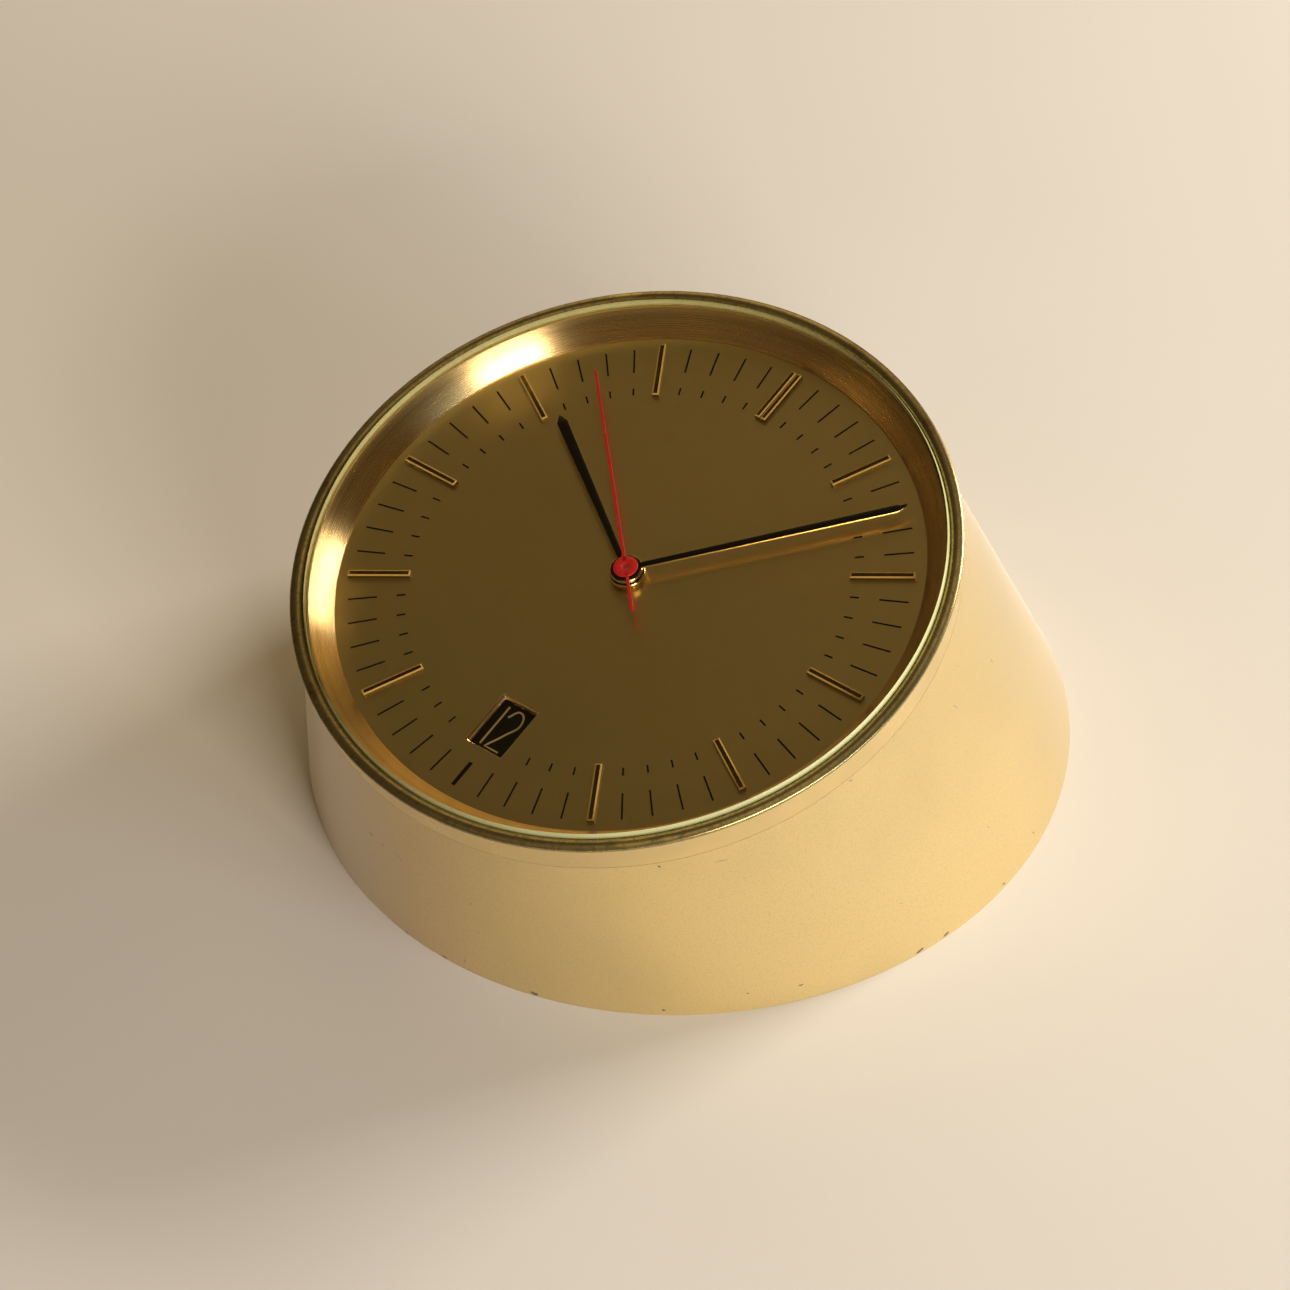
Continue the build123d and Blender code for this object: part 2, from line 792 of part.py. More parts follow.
# Screws: three hold the front plate to the carrier, three hold the rear plate to its pillars
with BuildPart() as plate_screws:
    for screw_place in screw_places:
        head_low = front_plate_under - screw_head_height
        disc(head_low, front_plate_under, screw_head_radius, place=screw_place)
        disc(front_plate_under, carrier_under, screw_radius, place=screw_place)
    for pillar_place in pillar_places:
        disc(
            rear_plate_under - screw_head_height,
            rear_plate_under,
            screw_head_radius,
            place=pillar_place,
        )
save(plate_screws, "plate_screws")

# Centre wheel: on the hollow arbor that the cannon pinion is pressed on
with BuildPart() as centre_wheel:
    disc(centre_wheel_low - gear_thickness, minute_hand_top, centre_arbor_radius)
    disc(centre_wheel_low, centre_wheel_high + level_gap, 2 * centre_arbor_radius)
    gear(
        centre_wheel_teeth,
        centre_module,
        centre_wheel_phase,
        centre_wheel_low,
        centre_wheel_high,
        windows=wheel_windows,
    )
    hole(centre_wheel_low - gear_thickness, minute_hand_top, seconds_bore)
save(centre_wheel, "centre_wheel")

# Third wheel: its pinion is driven by the centre wheel and it drives the seconds pinion
with BuildPart() as third_wheel:
    disc(rear_plate_under, front_plate_under + plate_thickness, pivot_radius, place=third_place)
    disc(
        rear_plate_top + level_gap,
        front_plate_under - level_gap,
        third_arbor_radius,
        place=third_place,
    )
    gear(
        third_pinion_teeth,
        centre_module,
        third_pinion_phase,
        centre_wheel_low - level_gap,
        centre_wheel_high + level_gap,
        third_place,
    )
    gear(
        third_wheel_teeth,
        third_module,
        third_wheel_phase,
        third_wheel_low,
        third_wheel_high,
        third_place,
        windows=wheel_windows,
    )
save(third_wheel, "third_wheel")

# Seconds arbor: through the hollow centre arbor, from the index wheel to the seconds hand
with BuildPart() as seconds_arbor:
    disc(index_low, second_hand_level, seconds_arbor_radius)
    disc(second_hand_level, second_top, seconds_tip_radius)
    gear(
        seconds_pinion_teeth,
        third_module,
        seconds_pinion_phase,
        third_wheel_low - level_gap,
        third_wheel_high + level_gap,
    )
save(seconds_arbor, "seconds_arbor")

# Index wheel: a fine ratchet on the seconds arbor, one tooth for each swing of the balance
with BuildPart() as index_wheel:
    index_step = 360 / index_teeth
    index_root = index_radius - index_radius * radians(index_step) / 2
    index_corners = []
    for notch in range(index_teeth):
        index_corners.append(polar(index_root, notch * index_step))
        index_corners.append(polar(index_radius, notch * index_step + index_step * tip_width_share))
    with BuildSketch(dial_at(index_low)):
        Polygon(*index_corners, align=None)
        with PolarLocations(index_radius * wheel_window_place_share, wheel_windows):
            Circle(index_radius * wheel_window_radius_share, mode=Mode.SUBTRACT)
        Circle(seconds_arbor_radius + press_gap, mode=Mode.SUBTRACT)
    extrude(amount=gear_thickness)
save(index_wheel, "index_wheel")

# Balance: two discs on a staff, with magnets that pass the coil on both sides
upper_disc_low = index_low - 2 * level_gap - balance_disc_thickness
upper_magnet_low = upper_disc_low - magnet_thickness
coil_high = upper_magnet_low - magnet_gap
coil_low = coil_high - coil_thickness
lower_magnet_low = coil_low - magnet_gap - magnet_thickness
lower_disc_low = lower_magnet_low - balance_disc_thickness
hairspring_low = lower_disc_low - level_gap - hairspring_height
bridge_high = hairspring_low - level_gap
bridge_low = bridge_high - bridge_thickness
magnet_ring = coil_place[0] - balance_place[0]
with BuildPart() as balance_wheel:
    disc(bridge_low, rear_plate_top, staff_radius, place=balance_place)
    for disc_low in (upper_disc_low, lower_disc_low):
        with BuildSketch(dial_at(disc_low, balance_place)):
            Circle(balance_radius)
            Circle(balance_radius - balance_rim, mode=Mode.SUBTRACT)
            Rectangle(2 * balance_radius - balance_rim, balance_arm)
            Circle(balance_hub)
            with PolarLocations(magnet_ring, 2):
                Circle(magnet_radius + balance_disc_thickness / 2)
        extrude(amount=balance_disc_thickness)
    index_pin = (balance_place[0] - staff_radius - index_pin_radius - level_gap, balance_place[1])
    disc(upper_disc_low, index_high, index_pin_radius, place=index_pin)
save(balance_wheel, "balance_wheel")

with BuildPart() as balance_magnets:
    for magnet_low in (upper_magnet_low, lower_magnet_low):
        with BuildSketch(dial_at(magnet_low, balance_place)):
            with PolarLocations(magnet_ring, 2):
                Circle(magnet_radius)
        extrude(amount=magnet_thickness)
save(balance_magnets, "balance_magnets")

# Drive coil: a flat winding between the discs, on an arm from its post
with BuildPart() as drive_coil:
    disc(coil_low, coil_high, coil_radius, coil_bore, coil_place)
save(drive_coil, "drive_coil")

with BuildPart() as coil_bracket:
    with BuildSketch(dial_at(coil_low, coil_post)):
        Circle(pillar_radius)
        with Locations((-pillar_radius, 0)):
            Rectangle(2 * pillar_radius, 2 * pillar_radius)
        with Locations((coil_place[0] - coil_post[0], 0)):
            Circle(coil_radius + press_gap, mode=Mode.SUBTRACT)
    extrude(amount=coil_thickness)
    disc(coil_high, rear_plate_under, pillar_radius, place=coil_post)
save(coil_bracket, "coil_bracket")

# Hairspring: a flat spiral between the balance and its bridge
with BuildPart() as hairspring:
    spiral_start = balance_hub + level_gap
    spiral_inner = []
    spiral_outer = []
    for spiral_step in range(hairspring_turns * hairspring_turn_steps + 1):
        spiral_radius = spiral_start + hairspring_pitch * spiral_step / hairspring_turn_steps
        spiral_angle = 360 * spiral_step / hairspring_turn_steps
        spiral_inner.append(polar(spiral_radius, spiral_angle))
        spiral_outer.append(polar(spiral_radius + hairspring_strip_width, spiral_angle))
    with BuildSketch(dial_at(hairspring_low, balance_place)):
        Polygon(*spiral_outer, *reversed(spiral_inner), align=None)
    extrude(amount=hairspring_height)
save(hairspring, "hairspring")

# Balance bridge: a bar on two feet, with a boss for the regulator and a stud for the hairspring
spiral_end = spiral_start + hairspring_turns * hairspring_pitch
regulator_boss = staff_radius + pipe_wall + running_gap
regulator_high = bridge_low - level_gap / 2
regulator_low = regulator_high - regulator_thickness
with BuildPart() as balance_bridge:
    with BuildSketch(dial_at(bridge_low, balance_place)):
        SlotCenterToCenter(2 * bridge_foot_distance, bridge_width, rotation=90)
        with Locations((spiral_end / 2, 0)):
            SlotCenterToCenter(spiral_end, bridge_width / 2)
    extrude(amount=bridge_thickness)
    for foot_place in bridge_feet:
        disc(bridge_high, rear_plate_under, bridge_foot_radius, place=foot_place)
    disc(regulator_low, bridge_low, regulator_boss, place=balance_place)
    hairspring_stud = (balance_place[0] + spiral_end, balance_place[1] + hairspring_strip_width)
    disc(bridge_high, hairspring_low, hairspring_stud_radius, place=hairspring_stud)
    hole(regulator_low, bridge_high, staff_radius + running_gap, balance_place)
save(balance_bridge, "balance_bridge")

# Regulator: a lever that turns about the bridge's boss
with BuildPart() as regulator:
    with BuildSketch(dial_at(regulator_low, balance_place)):
        Circle(regulator_boss + 2 * pipe_wall)
        with Locations((0, regulator_reach / 2)):
            Rectangle(pipe_wall * 2, regulator_reach)
        with Locations((0, regulator_reach)):
            Circle(pipe_wall * 2)
        Circle(regulator_boss + running_gap, mode=Mode.SUBTRACT)
    extrude(amount=regulator_thickness)
save(regulator, "regulator")

# Circuit board on two posts, with its transistor, capacitor and resistors
board_high = rear_plate_under - board_standoff
board_low = board_high - board_thickness
with BuildPart() as circuit_board:
    with BuildSketch(dial_at(board_low, board_place)):
        RectangleRounded(board_width, board_length, board_corner)
    extrude(amount=board_thickness)
save(circuit_board, "circuit_board")

with BuildPart() as board_posts:
    for post_place in board_post_places:
        disc(board_high, rear_plate_under, pillar_radius, place=post_place)
save(board_posts, "board_posts")

with BuildPart() as board_components:
    disc(
        board_low - transistor_height,
        board_low,
        transistor_radius,
        place=(board_place[0], board_place[1] + resistor_length),
    )
    disc(
        board_low - capacitor_height,
        board_low,
        transistor_radius,
        place=(board_place[0] - transistor_radius, board_place[1]),
    )
    for part_row in (0, 1):
        row_place = (board_place[0] + part_row * resistor_length / 2, board_place[1] - resistor_length)
        with BuildSketch(dial_at(board_low - resistor_width, row_place)):
            Rectangle(resistor_width, resistor_length)
        extrude(amount=resistor_width)
save(board_components, "board_components")

# Base plate: an oval sheet in the body's foot, with a battery opening and a hole for the knob
base_half_width, base_half_length, base_middle = footprint(body_wall + base_gap, base_top)
base_y = dial_y + base_middle
bay_half_length = cell_length / 2 + contact_room
bay_half_width = cell_radius + cell_room
opening_half_length = bay_half_length + lid_gap
rim_share = sqrt(1 - (opening_half_length / base_half_width) ** 2)
opening_back = base_y + base_half_length * rim_share - lid_rim_width
hinge_y = opening_back - lid_swing_room
hinge_z = base_recess + knuckle_radius
cell_y = hinge_y - knuckle_radius - lid_gap - bay_wall - bay_half_width
cell_z = base_top + cell_room + cell_radius
lid_front = cell_y - bay_half_width
knob_lower_level = (
    (knob_floor_gap + knob_radius * tilt_sin - dial_height - setting_place[1] * tilt_sin) / tilt_cos
)
hole_level = (base_recess - dial_height - setting_place[1] * tilt_sin) / tilt_cos
knob_hole_place = (
    setting_place[0],
    dial_y + setting_place[1] * tilt_cos - hole_level * tilt_sin,
)
lug_places = [
    side * (bay_half_length - hinge_lug_length / 2 - lug_step)
    for side in (-1, 1)
    for lug_step in (0, hinge_lug_length + knuckle_length + 2 * lid_gap)
]
knuckle_places = [
    side * (bay_half_length - hinge_lug_length - lid_gap - knuckle_length / 2) for side in (-1, 1)
]
base_screw_hole = base_screw_radius + fit_gap
with BuildPart() as base_plate:
    with BuildSketch(Plane.XY.offset(base_recess)):
        with Locations((0, base_y)):
            Ellipse(base_half_width, base_half_length)
        with Locations((0, (lid_front - lid_gap + opening_back) / 2)):
            Rectangle(2 * opening_half_length, opening_back - lid_front + lid_gap, mode=Mode.SUBTRACT)
        with Locations(knob_hole_place):
            Circle(knob_hole_radius, mode=Mode.SUBTRACT)
        with Locations((0, lid_front - lid_gap)):
            Circle(lid_notch_radius, mode=Mode.SUBTRACT)
    extrude(amount=base_thickness)
    with Locations(*[Location((x, y, base_recess), (180, 0, 0)) for x, y in boss_places]):
        CounterSinkHole(
            base_screw_hole,
            base_screw_head + fit_gap,
            depth=base_thickness,
            counter_sink_angle=2 * countersink_half_angle,
        )
    for lug_place in lug_places:
        with BuildSketch(Plane.YZ.offset(lug_place - hinge_lug_length / 2)):
            with Locations((hinge_y, hinge_z)):
                Circle(knuckle_radius)
            with Locations(((hinge_y + opening_back + lid_gap) / 2, base_recess + base_thickness / 2)):
                Rectangle(opening_back + lid_gap - hinge_y, base_thickness)
            with Locations((hinge_y, hinge_z)):
                Circle(hinge_pin_radius + press_gap, mode=Mode.SUBTRACT)
        extrude(amount=hinge_lug_length)
save(base_plate, "base_plate")

# Base screws: four countersunk screws into the body's bosses
with BuildPart() as base_screws:
    head_depth = base_screw_head - base_screw_radius
    for boss_x, boss_y in boss_places:
        with BuildSketch(Plane.XY.offset(base_recess)):
            with Locations((boss_x, boss_y)):
                Circle(base_screw_head)
        extrude(amount=head_depth, taper=countersink_half_angle)
        with BuildSketch(Plane.XY.offset(base_recess)):
            with Locations((boss_x, boss_y)):
                Circle(base_screw_radius - press_gap)
        extrude(amount=base_screw_length)
save(base_screws, "base_screws")

# Battery: a round cell that lies across the clock
cell_ends = cell_length / 2 - cell_button_height
with BuildPart() as battery_cell:
    with BuildSketch(Plane.YZ.offset(-cell_length / 2)):
        with Locations((cell_y, cell_z)):
            Circle(cell_radius)
    extrude(amount=cell_length / 2 + cell_ends)
    with BuildSketch(Plane.YZ.offset(cell_ends)):
        with Locations((cell_y, cell_z)):
            Circle(cell_button_radius)
    extrude(amount=cell_button_height)
save(battery_cell, "battery_cell")

# Battery bay: an arched moulding over the cell, with feet on the base plate
bay_floor = base_top
with BuildPart() as battery_bay:
    for bay_inset, bay_mode in ((0, Mode.ADD), (bay_wall, Mode.SUBTRACT)):
        with BuildSketch(Plane.YZ.offset(-bay_half_length - bay_wall + bay_inset)):
            with Locations((cell_y, cell_z)):
                Circle(bay_half_width + bay_wall - bay_inset)
            with Locations((cell_y, (bay_floor + cell_z) / 2)):
                Rectangle(2 * (bay_half_width + bay_wall - bay_inset), cell_z - bay_floor)
        extrude(amount=2 * (bay_half_length + bay_wall - bay_inset), mode=bay_mode)
    split(bisect_by=Plane.XY.offset(bay_floor), keep=Keep.TOP)
    for foot_side in (-1, 1):
        with BuildSketch(Plane.XY.offset(bay_floor)):
            with Locations((foot_side * (bay_half_length + bay_wall + bay_foot / 2), cell_y)):
                Rectangle(bay_foot, cell_radius)
        extrude(amount=bay_wall)
save(battery_bay, "battery_bay")

# Contacts: a flat plate at the button end and a bowed leaf at the other
for contact_side, contact_name in ((1, "contact_plate"), (-1, "contact_spring")):
    with BuildPart() as contact:
        contact_face = contact_side * (bay_half_length - contact_thickness / 2)
        with BuildSketch(Plane.XZ.offset(-cell_y - cell_button_radius)):
            with BuildLine():
                if contact_side > 0:
                    plate_face = cell_length / 2 + level_gap + contact_thickness / 2
                    contact_line = Polyline(
                        (contact_face, cell_z + cell_radius / 2),
                        (plate_face, cell_z + cell_button_radius),
                        (plate_face, cell_z - cell_button_radius),
                        (contact_face, cell_z - cell_radius / 2),
                    )
                else:
                    leaf_face = -cell_length / 2 - level_gap - contact_thickness / 2
                    contact_line = ThreePointArc(
                        (contact_face, cell_z + cell_radius / 2),
                        (leaf_face, cell_z),
                        (contact_face, cell_z - cell_radius / 2),
                    )
            trace(contact_line, contact_thickness)
        extrude(amount=2 * cell_button_radius)
    save(contact, contact_name)

# Battery lid: flush with the base plate, with two hinge knuckles at its back edge
lid_back = hinge_y - knuckle_radius - lid_gap
with BuildPart() as battery_lid:
    lid_thickness = base_thickness - level_gap
    with BuildSketch(Plane.XY.offset(base_recess)):
        with Locations((0, (lid_front + lid_back) / 2)):
            Rectangle(2 * bay_half_length, lid_back - lid_front)
    extrude(amount=lid_thickness)
    for knuckle_place in knuckle_places:
        with BuildSketch(Plane.YZ.offset(knuckle_place - knuckle_length / 2)):
            with Locations((hinge_y, hinge_z)):
                Circle(knuckle_radius)
            with Locations(((lid_back + hinge_y) / 2, base_recess + lid_thickness / 2)):
                Rectangle(hinge_y - lid_back, lid_thickness)
            with Locations((hinge_y, hinge_z)):
                Circle(hinge_pin_radius + running_gap, mode=Mode.SUBTRACT)
        extrude(amount=knuckle_length)
save(battery_lid, "battery_lid")

with BuildPart() as hinge_pins:
    pin_length = 2 * hinge_lug_length + knuckle_length + 2 * lid_gap
    for pin_side in (-1, 1):
        pin_middle = pin_side * (bay_half_length - pin_length / 2)
        with BuildSketch(Plane.YZ.offset(pin_middle - pin_length / 2)):
            with Locations((hinge_y, hinge_z)):
                Circle(hinge_pin_radius)
        extrude(amount=pin_length)
save(hinge_pins, "hinge_pins")

# Setting arbor: its pinion meets the minute wheel and its lower end carries the setting knob
with BuildPart() as setting_arbor:
    disc(knob_lower_level + level_gap, motion_high, setting_arbor_radius, place=setting_place)
    gear(cannon_teeth, motion_module, setting_phase, motion_low, motion_high, setting_place)
save(setting_arbor, "setting_arbor")

with BuildPart() as setting_knob:
    disc(knob_lower_level, knob_lower_level + knob_height, knob_radius, place=setting_place)
    with BuildSketch(dial_at(knob_lower_level, setting_place)):
        with PolarLocations(knob_radius + knob_flute_radius / 2, knob_flutes):
            Circle(knob_flute_radius)
    extrude(amount=knob_height, mode=Mode.SUBTRACT)
    knob_hole_low = knob_lower_level + level_gap
    hole(knob_hole_low, knob_lower_level + knob_height, setting_arbor_radius + press_gap, setting_place)
save(setting_knob, "setting_knob")
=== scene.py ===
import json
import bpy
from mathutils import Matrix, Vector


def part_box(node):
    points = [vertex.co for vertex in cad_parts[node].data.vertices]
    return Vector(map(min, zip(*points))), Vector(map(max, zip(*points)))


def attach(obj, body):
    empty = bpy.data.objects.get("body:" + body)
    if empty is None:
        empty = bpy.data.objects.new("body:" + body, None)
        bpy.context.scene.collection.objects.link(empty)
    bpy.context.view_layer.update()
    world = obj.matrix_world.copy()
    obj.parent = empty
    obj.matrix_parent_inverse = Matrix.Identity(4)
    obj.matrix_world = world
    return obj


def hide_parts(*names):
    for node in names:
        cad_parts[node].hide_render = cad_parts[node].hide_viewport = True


bl_info = {
    "name": "Slanted table clock",
    "version": (1, 0, 0),
    "blender": (4, 5, 0),
    "location": "3D View > Sidebar > Clock",
    "description": "Dresses the packed clock: lacquered cone, bezel, glass, dial, hands, calendar and base",
    "category": "Add Mesh",
}

from math import atan2, cos, pi, radians, sin, sqrt, tan

import bpy
from mathutils import Matrix, Vector

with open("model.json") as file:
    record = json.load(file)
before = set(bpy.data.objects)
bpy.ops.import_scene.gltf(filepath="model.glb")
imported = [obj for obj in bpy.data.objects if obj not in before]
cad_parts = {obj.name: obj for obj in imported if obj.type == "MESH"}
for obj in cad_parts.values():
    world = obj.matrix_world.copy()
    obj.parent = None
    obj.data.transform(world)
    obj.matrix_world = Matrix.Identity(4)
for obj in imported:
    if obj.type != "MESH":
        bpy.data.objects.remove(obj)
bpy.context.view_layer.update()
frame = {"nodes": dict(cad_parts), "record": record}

MM = 0.001
FULL_TURN = 2 * pi
WELD = 0.001 * MM
UP = 0.9

# Steps round a turned piece
FINE_STEPS = 256
SMALL_STEPS = 96
POST_STEPS = 64
SCREW_STEPS = 48
PIN_STEPS = 24

# The dial's plane: its tilt, and its centre above the table
DIAL_TILT = radians(14.6)
DIAL_HEIGHT = 44.31 * MM
DIAL_Y = -13.0406 * MM
TILT_SIN = sin(DIAL_TILT)
TILT_COS = cos(DIAL_TILT)
DIAL_FRAME = Matrix.Translation((0, DIAL_Y, DIAL_HEIGHT)) @ Matrix.Rotation(DIAL_TILT, 4, "X")

# Case, as in the part's source; a level is a distance along the dial's normal from its top face
FLARE_SLOPE = tan(radians(11.55))
OBLIQUE = FLARE_SLOPE * TILT_SIN / TILT_COS
BODY_WALL = 2.6 * MM
BEZEL_RADIUS = 52.08 * MM
BEZEL_BORE = 50.05 * MM
BEZEL_EDGE = 0.63 * MM
BEZEL_CROWN = 0.42 * MM
BAND_RADIUS = 51.45 * MM
BAND_BOTTOM = -1.3 * MM
BAND_TOP = 3.9 * MM
BAND_GAP = 0.1 * MM
SPIGOT_RADIUS = 48.7 * MM
SPIGOT_BORE = 48.8 * MM
SPIGOT_END = -7.3 * MM
SEAT_BORE = 44.5 * MM
CAVITY_TOP = -7.6 * MM
CARRIER_UNDER = -6.6 * MM
BASE_TOP = 4.0 * MM
BASE_RECESS = 2.0 * MM
BOSS_RADIUS = 4.0 * MM
BOSS_INSET = 5.6 * MM
BOSS_ANGLE = radians(52)
BOSS_HEIGHT = 7.0 * MM

# Base plate's screws
SCREW_HOLE_TOP = 9.1 * MM
SCREW_RADIUS = 1.5 * MM
SCREW_HEAD_RADIUS = 2.9 * MM
BASE_SCREW_TOP = 9.0 * MM
BASE_SCREW_TURNS = (24, 71, 128, 8)
THREAD_PITCH = 0.5 * MM

# Glass, flange and dial
CRYSTAL_RADIUS = 49.95 * MM
CRYSTAL_BEVEL = 0.28 * MM
CRYSTAL_BEVEL_DROP = 0.7 * MM
CRYSTAL_TOP = 5.4 * MM
FLANGE_TOP_RADIUS = 49.3 * MM
FLANGE_LIP = 0.25 * MM
FLANGE_OUTER = FLANGE_TOP_RADIUS + FLANGE_LIP
DIAL_VIEW_RADIUS = 46.0 * MM
DIAL_RADIUS = 46.8 * MM
DIAL_THICKNESS = 0.8 * MM
DIAL_FOOT_PLACE = 42.0 * MM
DIAL_FOOT_RADIUS = 0.6 * MM
DIAL_FOOT_END = -3.8 * MM
HUB_OPENING = 2.35 * MM
WINDOW_WIDTH = 6.9 * MM
WINDOW_LENGTH = 9.7 * MM
WINDOW_MIDDLE = 31.75 * MM
WINDOW_BEVEL = 0.55 * MM
WINDOW_LAND = 0.04 * MM

# Hour bars and printed strokes
MARKER_INNER = 34.4 * MM
MARKER_LENGTH = 10.0 * MM
MARKER_HEIGHT = 0.7 * MM
MARKER_FACET = 0.24 * MM
MARKER_FACET_DROP = 0.13 * MM
SINGLE_MARKER_HOURS = (1, 2, 3, 4, 5, 7, 8, 9, 10, 11)
STROKE_INNER = 39.4 * MM
STROKE_OUTER = 44.0 * MM
SHORT_STROKE_INNER = 34.9 * MM
SHORT_STROKE_OUTER = 36.3 * MM
SIX_BAR_WIDTH = 0.65 * MM
PRINT_LIFT = 0.02 * MM

# Hands
HAND_THICKNESS = 0.35 * MM
HAND_POINT = 1.6 * MM
HAND_CHAMFER = 0.035 * MM
HUB_DROP = 0.2 * MM
HUB_RIM = 0.16 * MM
SECOND_LEVEL = 2.45 * MM
SECOND_THICKNESS = 0.25 * MM
SECOND_DISC = 1.95 * MM
SECOND_BORE = 0.27 * MM
SECOND_EDGE = 0.08 * MM

# Movement's plates and screws
PLATE_UNDER = -8.1 * MM
REAR_UNDER = -22.1 * MM
PILLAR_RING = 28.0 * MM
PLATE_SCREW_HEAD = 1.8 * MM
PLATE_SCREW_RADIUS = 0.88 * MM
PLATE_SCREW_HEIGHT = 0.9 * MM

# Setting knob
KNOB_PLACE = (9.6 * MM, -16.6277 * MM)
KNOB_LOW = -38.7309 * MM
KNOB_RADIUS = 6.5 * MM
KNOB_HEIGHT = 6.0 * MM
KNOB_BORE = 1.22 * MM
KNOB_EDGE = 0.5 * MM
KNOB_DISH = 0.15 * MM
KNOB_FLUTES = 16
FLUTE_RADIUS = 0.8 * MM
FLUTE_PLACE = KNOB_RADIUS + 0.4 * MM

# Round cell and the battery lid's ribs
CELL_RADIUS = 7.2 * MM
CELL_END_RADIUS = 6.7 * MM
CELL_END = 25.0 * MM
CELL_SHOULDER = 23.8 * MM
CELL_BUTTON_RADIUS = 2.6 * MM
CELL_GROOVE = 0.3 * MM
RIB_COUNT = 5
RIB_LENGTH = 18 * MM
RIB_WIDTH = 0.7 * MM
RIB_PITCH = 1.6 * MM
RIB_INSET = 3 * MM

# Calendar
DATE_RING_TOP = -1.2 * MM
DAYS = 31
SHOWN_DAY = 12
FIGURE_HEIGHT = 7.5 * MM
FIGURE_STROKE = 0.17 * MM
FIGURE_FLATNESS = 0.12
FIGURE_LIFT = 0.01 * MM
FIGURE_GAP = 0.9 * MM
FIGURE_WIDTH = 2.6 * MM
PAIRED_FIGURE_WIDTH = 2.1 * MM


def footprint(inset, height):
    """Half width, half length and middle of the ellipse in which a level plane cuts the body."""
    drop = DIAL_HEIGHT - height
    mean_radius = BAND_RADIUS - inset + (BAND_BOTTOM + drop / TILT_COS) * FLARE_SLOPE
    half_width = mean_radius / sqrt(1 - OBLIQUE**2)
    half_length = mean_radius / (1 - OBLIQUE**2) / TILT_COS
    middle = (mean_radius * OBLIQUE / (1 - OBLIQUE**2) + TILT_SIN * drop) / TILT_COS
    return half_width, half_length, middle


FOOT_BACK = footprint(0, 0)[1] + footprint(0, 0)[2]
DEEPEST = -(DIAL_HEIGHT + FOOT_BACK * TILT_SIN) / TILT_COS


def flare_radius(level):
    """The body's outer radius about the dial's axis at a level."""
    return BAND_RADIUS + (BAND_BOTTOM - level) * FLARE_SLOPE


def boss_places():
    """Where the base plate's four screws stand."""
    half_width, half_length, middle = footprint(BOSS_INSET, BASE_TOP)
    across = half_width * cos(BOSS_ANGLE)
    along = half_length * sin(BOSS_ANGLE)
    return [(x * across, DIAL_Y + middle + y * along) for x in (-1, 1) for y in (-1, 1)]


# Settings


def colour_setting(name, description, default):
    return bpy.props.FloatVectorProperty(
        name=name, description=description, subtype="COLOR", min=0, max=1, default=default
    )


def length_setting(name, description, default):
    return bpy.props.FloatProperty(
        name=name, description=description, subtype="DISTANCE", unit="LENGTH", default=default * MM
    )


def angle_setting(name, description, default):
    return bpy.props.FloatProperty(
        name=name, description=description, subtype="ANGLE", default=radians(default)
    )


def power_setting(name, description, default):
    return bpy.props.FloatProperty(name=name, description=description, unit="POWER", default=default)


class CaseSettings(bpy.types.PropertyGroup):
    lacquer: colour_setting("Lacquer", "Colour of the body's gold lacquer", (0.59, 0.41, 0.15))
    band: colour_setting("Band", "Colour of the smooth gold band under the bezel", (0.82, 0.62, 0.28))
    patina_dark: colour_setting("Bezel, dark", "Darkest tone of the bezel's patina", (0.12, 0.085, 0.035))
    patina_light: colour_setting("Bezel, light", "Lightest tone of the bezel's patina", (0.42, 0.33, 0.13))
    edge_round: length_setting("Edge rounding", "Radius of the lacquered edges", 0.15)


class DialSettings(bpy.types.PropertyGroup):
    dial: colour_setting("Dial", "Colour of the brushed dial", (0.77, 0.60, 0.265))
    flange: colour_setting("Flange", "Colour of the ring that slopes down to the dial", (0.88, 0.63, 0.29))
    # Painted light: one gold is split into a bright copy for the bars' facets, as painted highlights, and a
    # dark copy for their tops, as a painted dark reflection
    marker: colour_setting("Markers", "Colour of the hour bars' bright facets", (1.0, 0.64, 0.15))
    marker_top: colour_setting("Marker tops", "Colour of the hour bars' polished tops", (0.32, 0.22, 0.08))
    marker_width: length_setting("Marker width", "Width of a single hour bar", 1.1)
    pair_width: length_setting("Twelve's bars", "Width of each of the two bars at twelve", 0.95)
    pair_gap: length_setting("Twelve's gap", "Gap between the two bars at twelve", 0.12)
    stroke_width: length_setting("Stroke width", "Width of a printed minute stroke", 0.28)


class HandSettings(bpy.types.PropertyGroup):
    hour_angle: angle_setting("Hour hand", "Angle of the hour hand from twelve", 303.8)
    minute_angle: angle_setting("Minute hand", "Angle of the minute hand from twelve", 44.5)
    second_angle: angle_setting("Seconds hand", "Angle of the seconds hand from twelve", 315.6)
    red: colour_setting("Seconds hand's red", "Colour of the seconds hand", (0.84, 0.018, 0.022))
    figure: colour_setting("Date figures", "Colour of the figures on the date ring", (0.72, 0.54, 0.20))


class StageSettings(bpy.types.PropertyGroup):
    floor: colour_setting("Floor", "Colour of the pale paper under the clock", (0.84, 0.79, 0.71))
    key_power: power_setting("Key lamp", "Power of the lamp behind the clock on the right", 6.8)
    fill_power: power_setting("Fill lamp", "Power of the wide lamp in front on the right", 8.5)
    side_power: power_setting("Side lamp", "Power of the low lamp that lights the body's right", 11.5)


# Modelling helpers


def deselect_all():
    bpy.ops.object.select_all(action="DESELECT")


def named(name):
    """Names the object that an operator has just made."""
    piece = bpy.context.object
    piece.name = name
    piece.data.name = name
    return piece


def make_active(piece):
    deselect_all()
    piece.select_set(True)
    bpy.context.view_layer.objects.active = piece


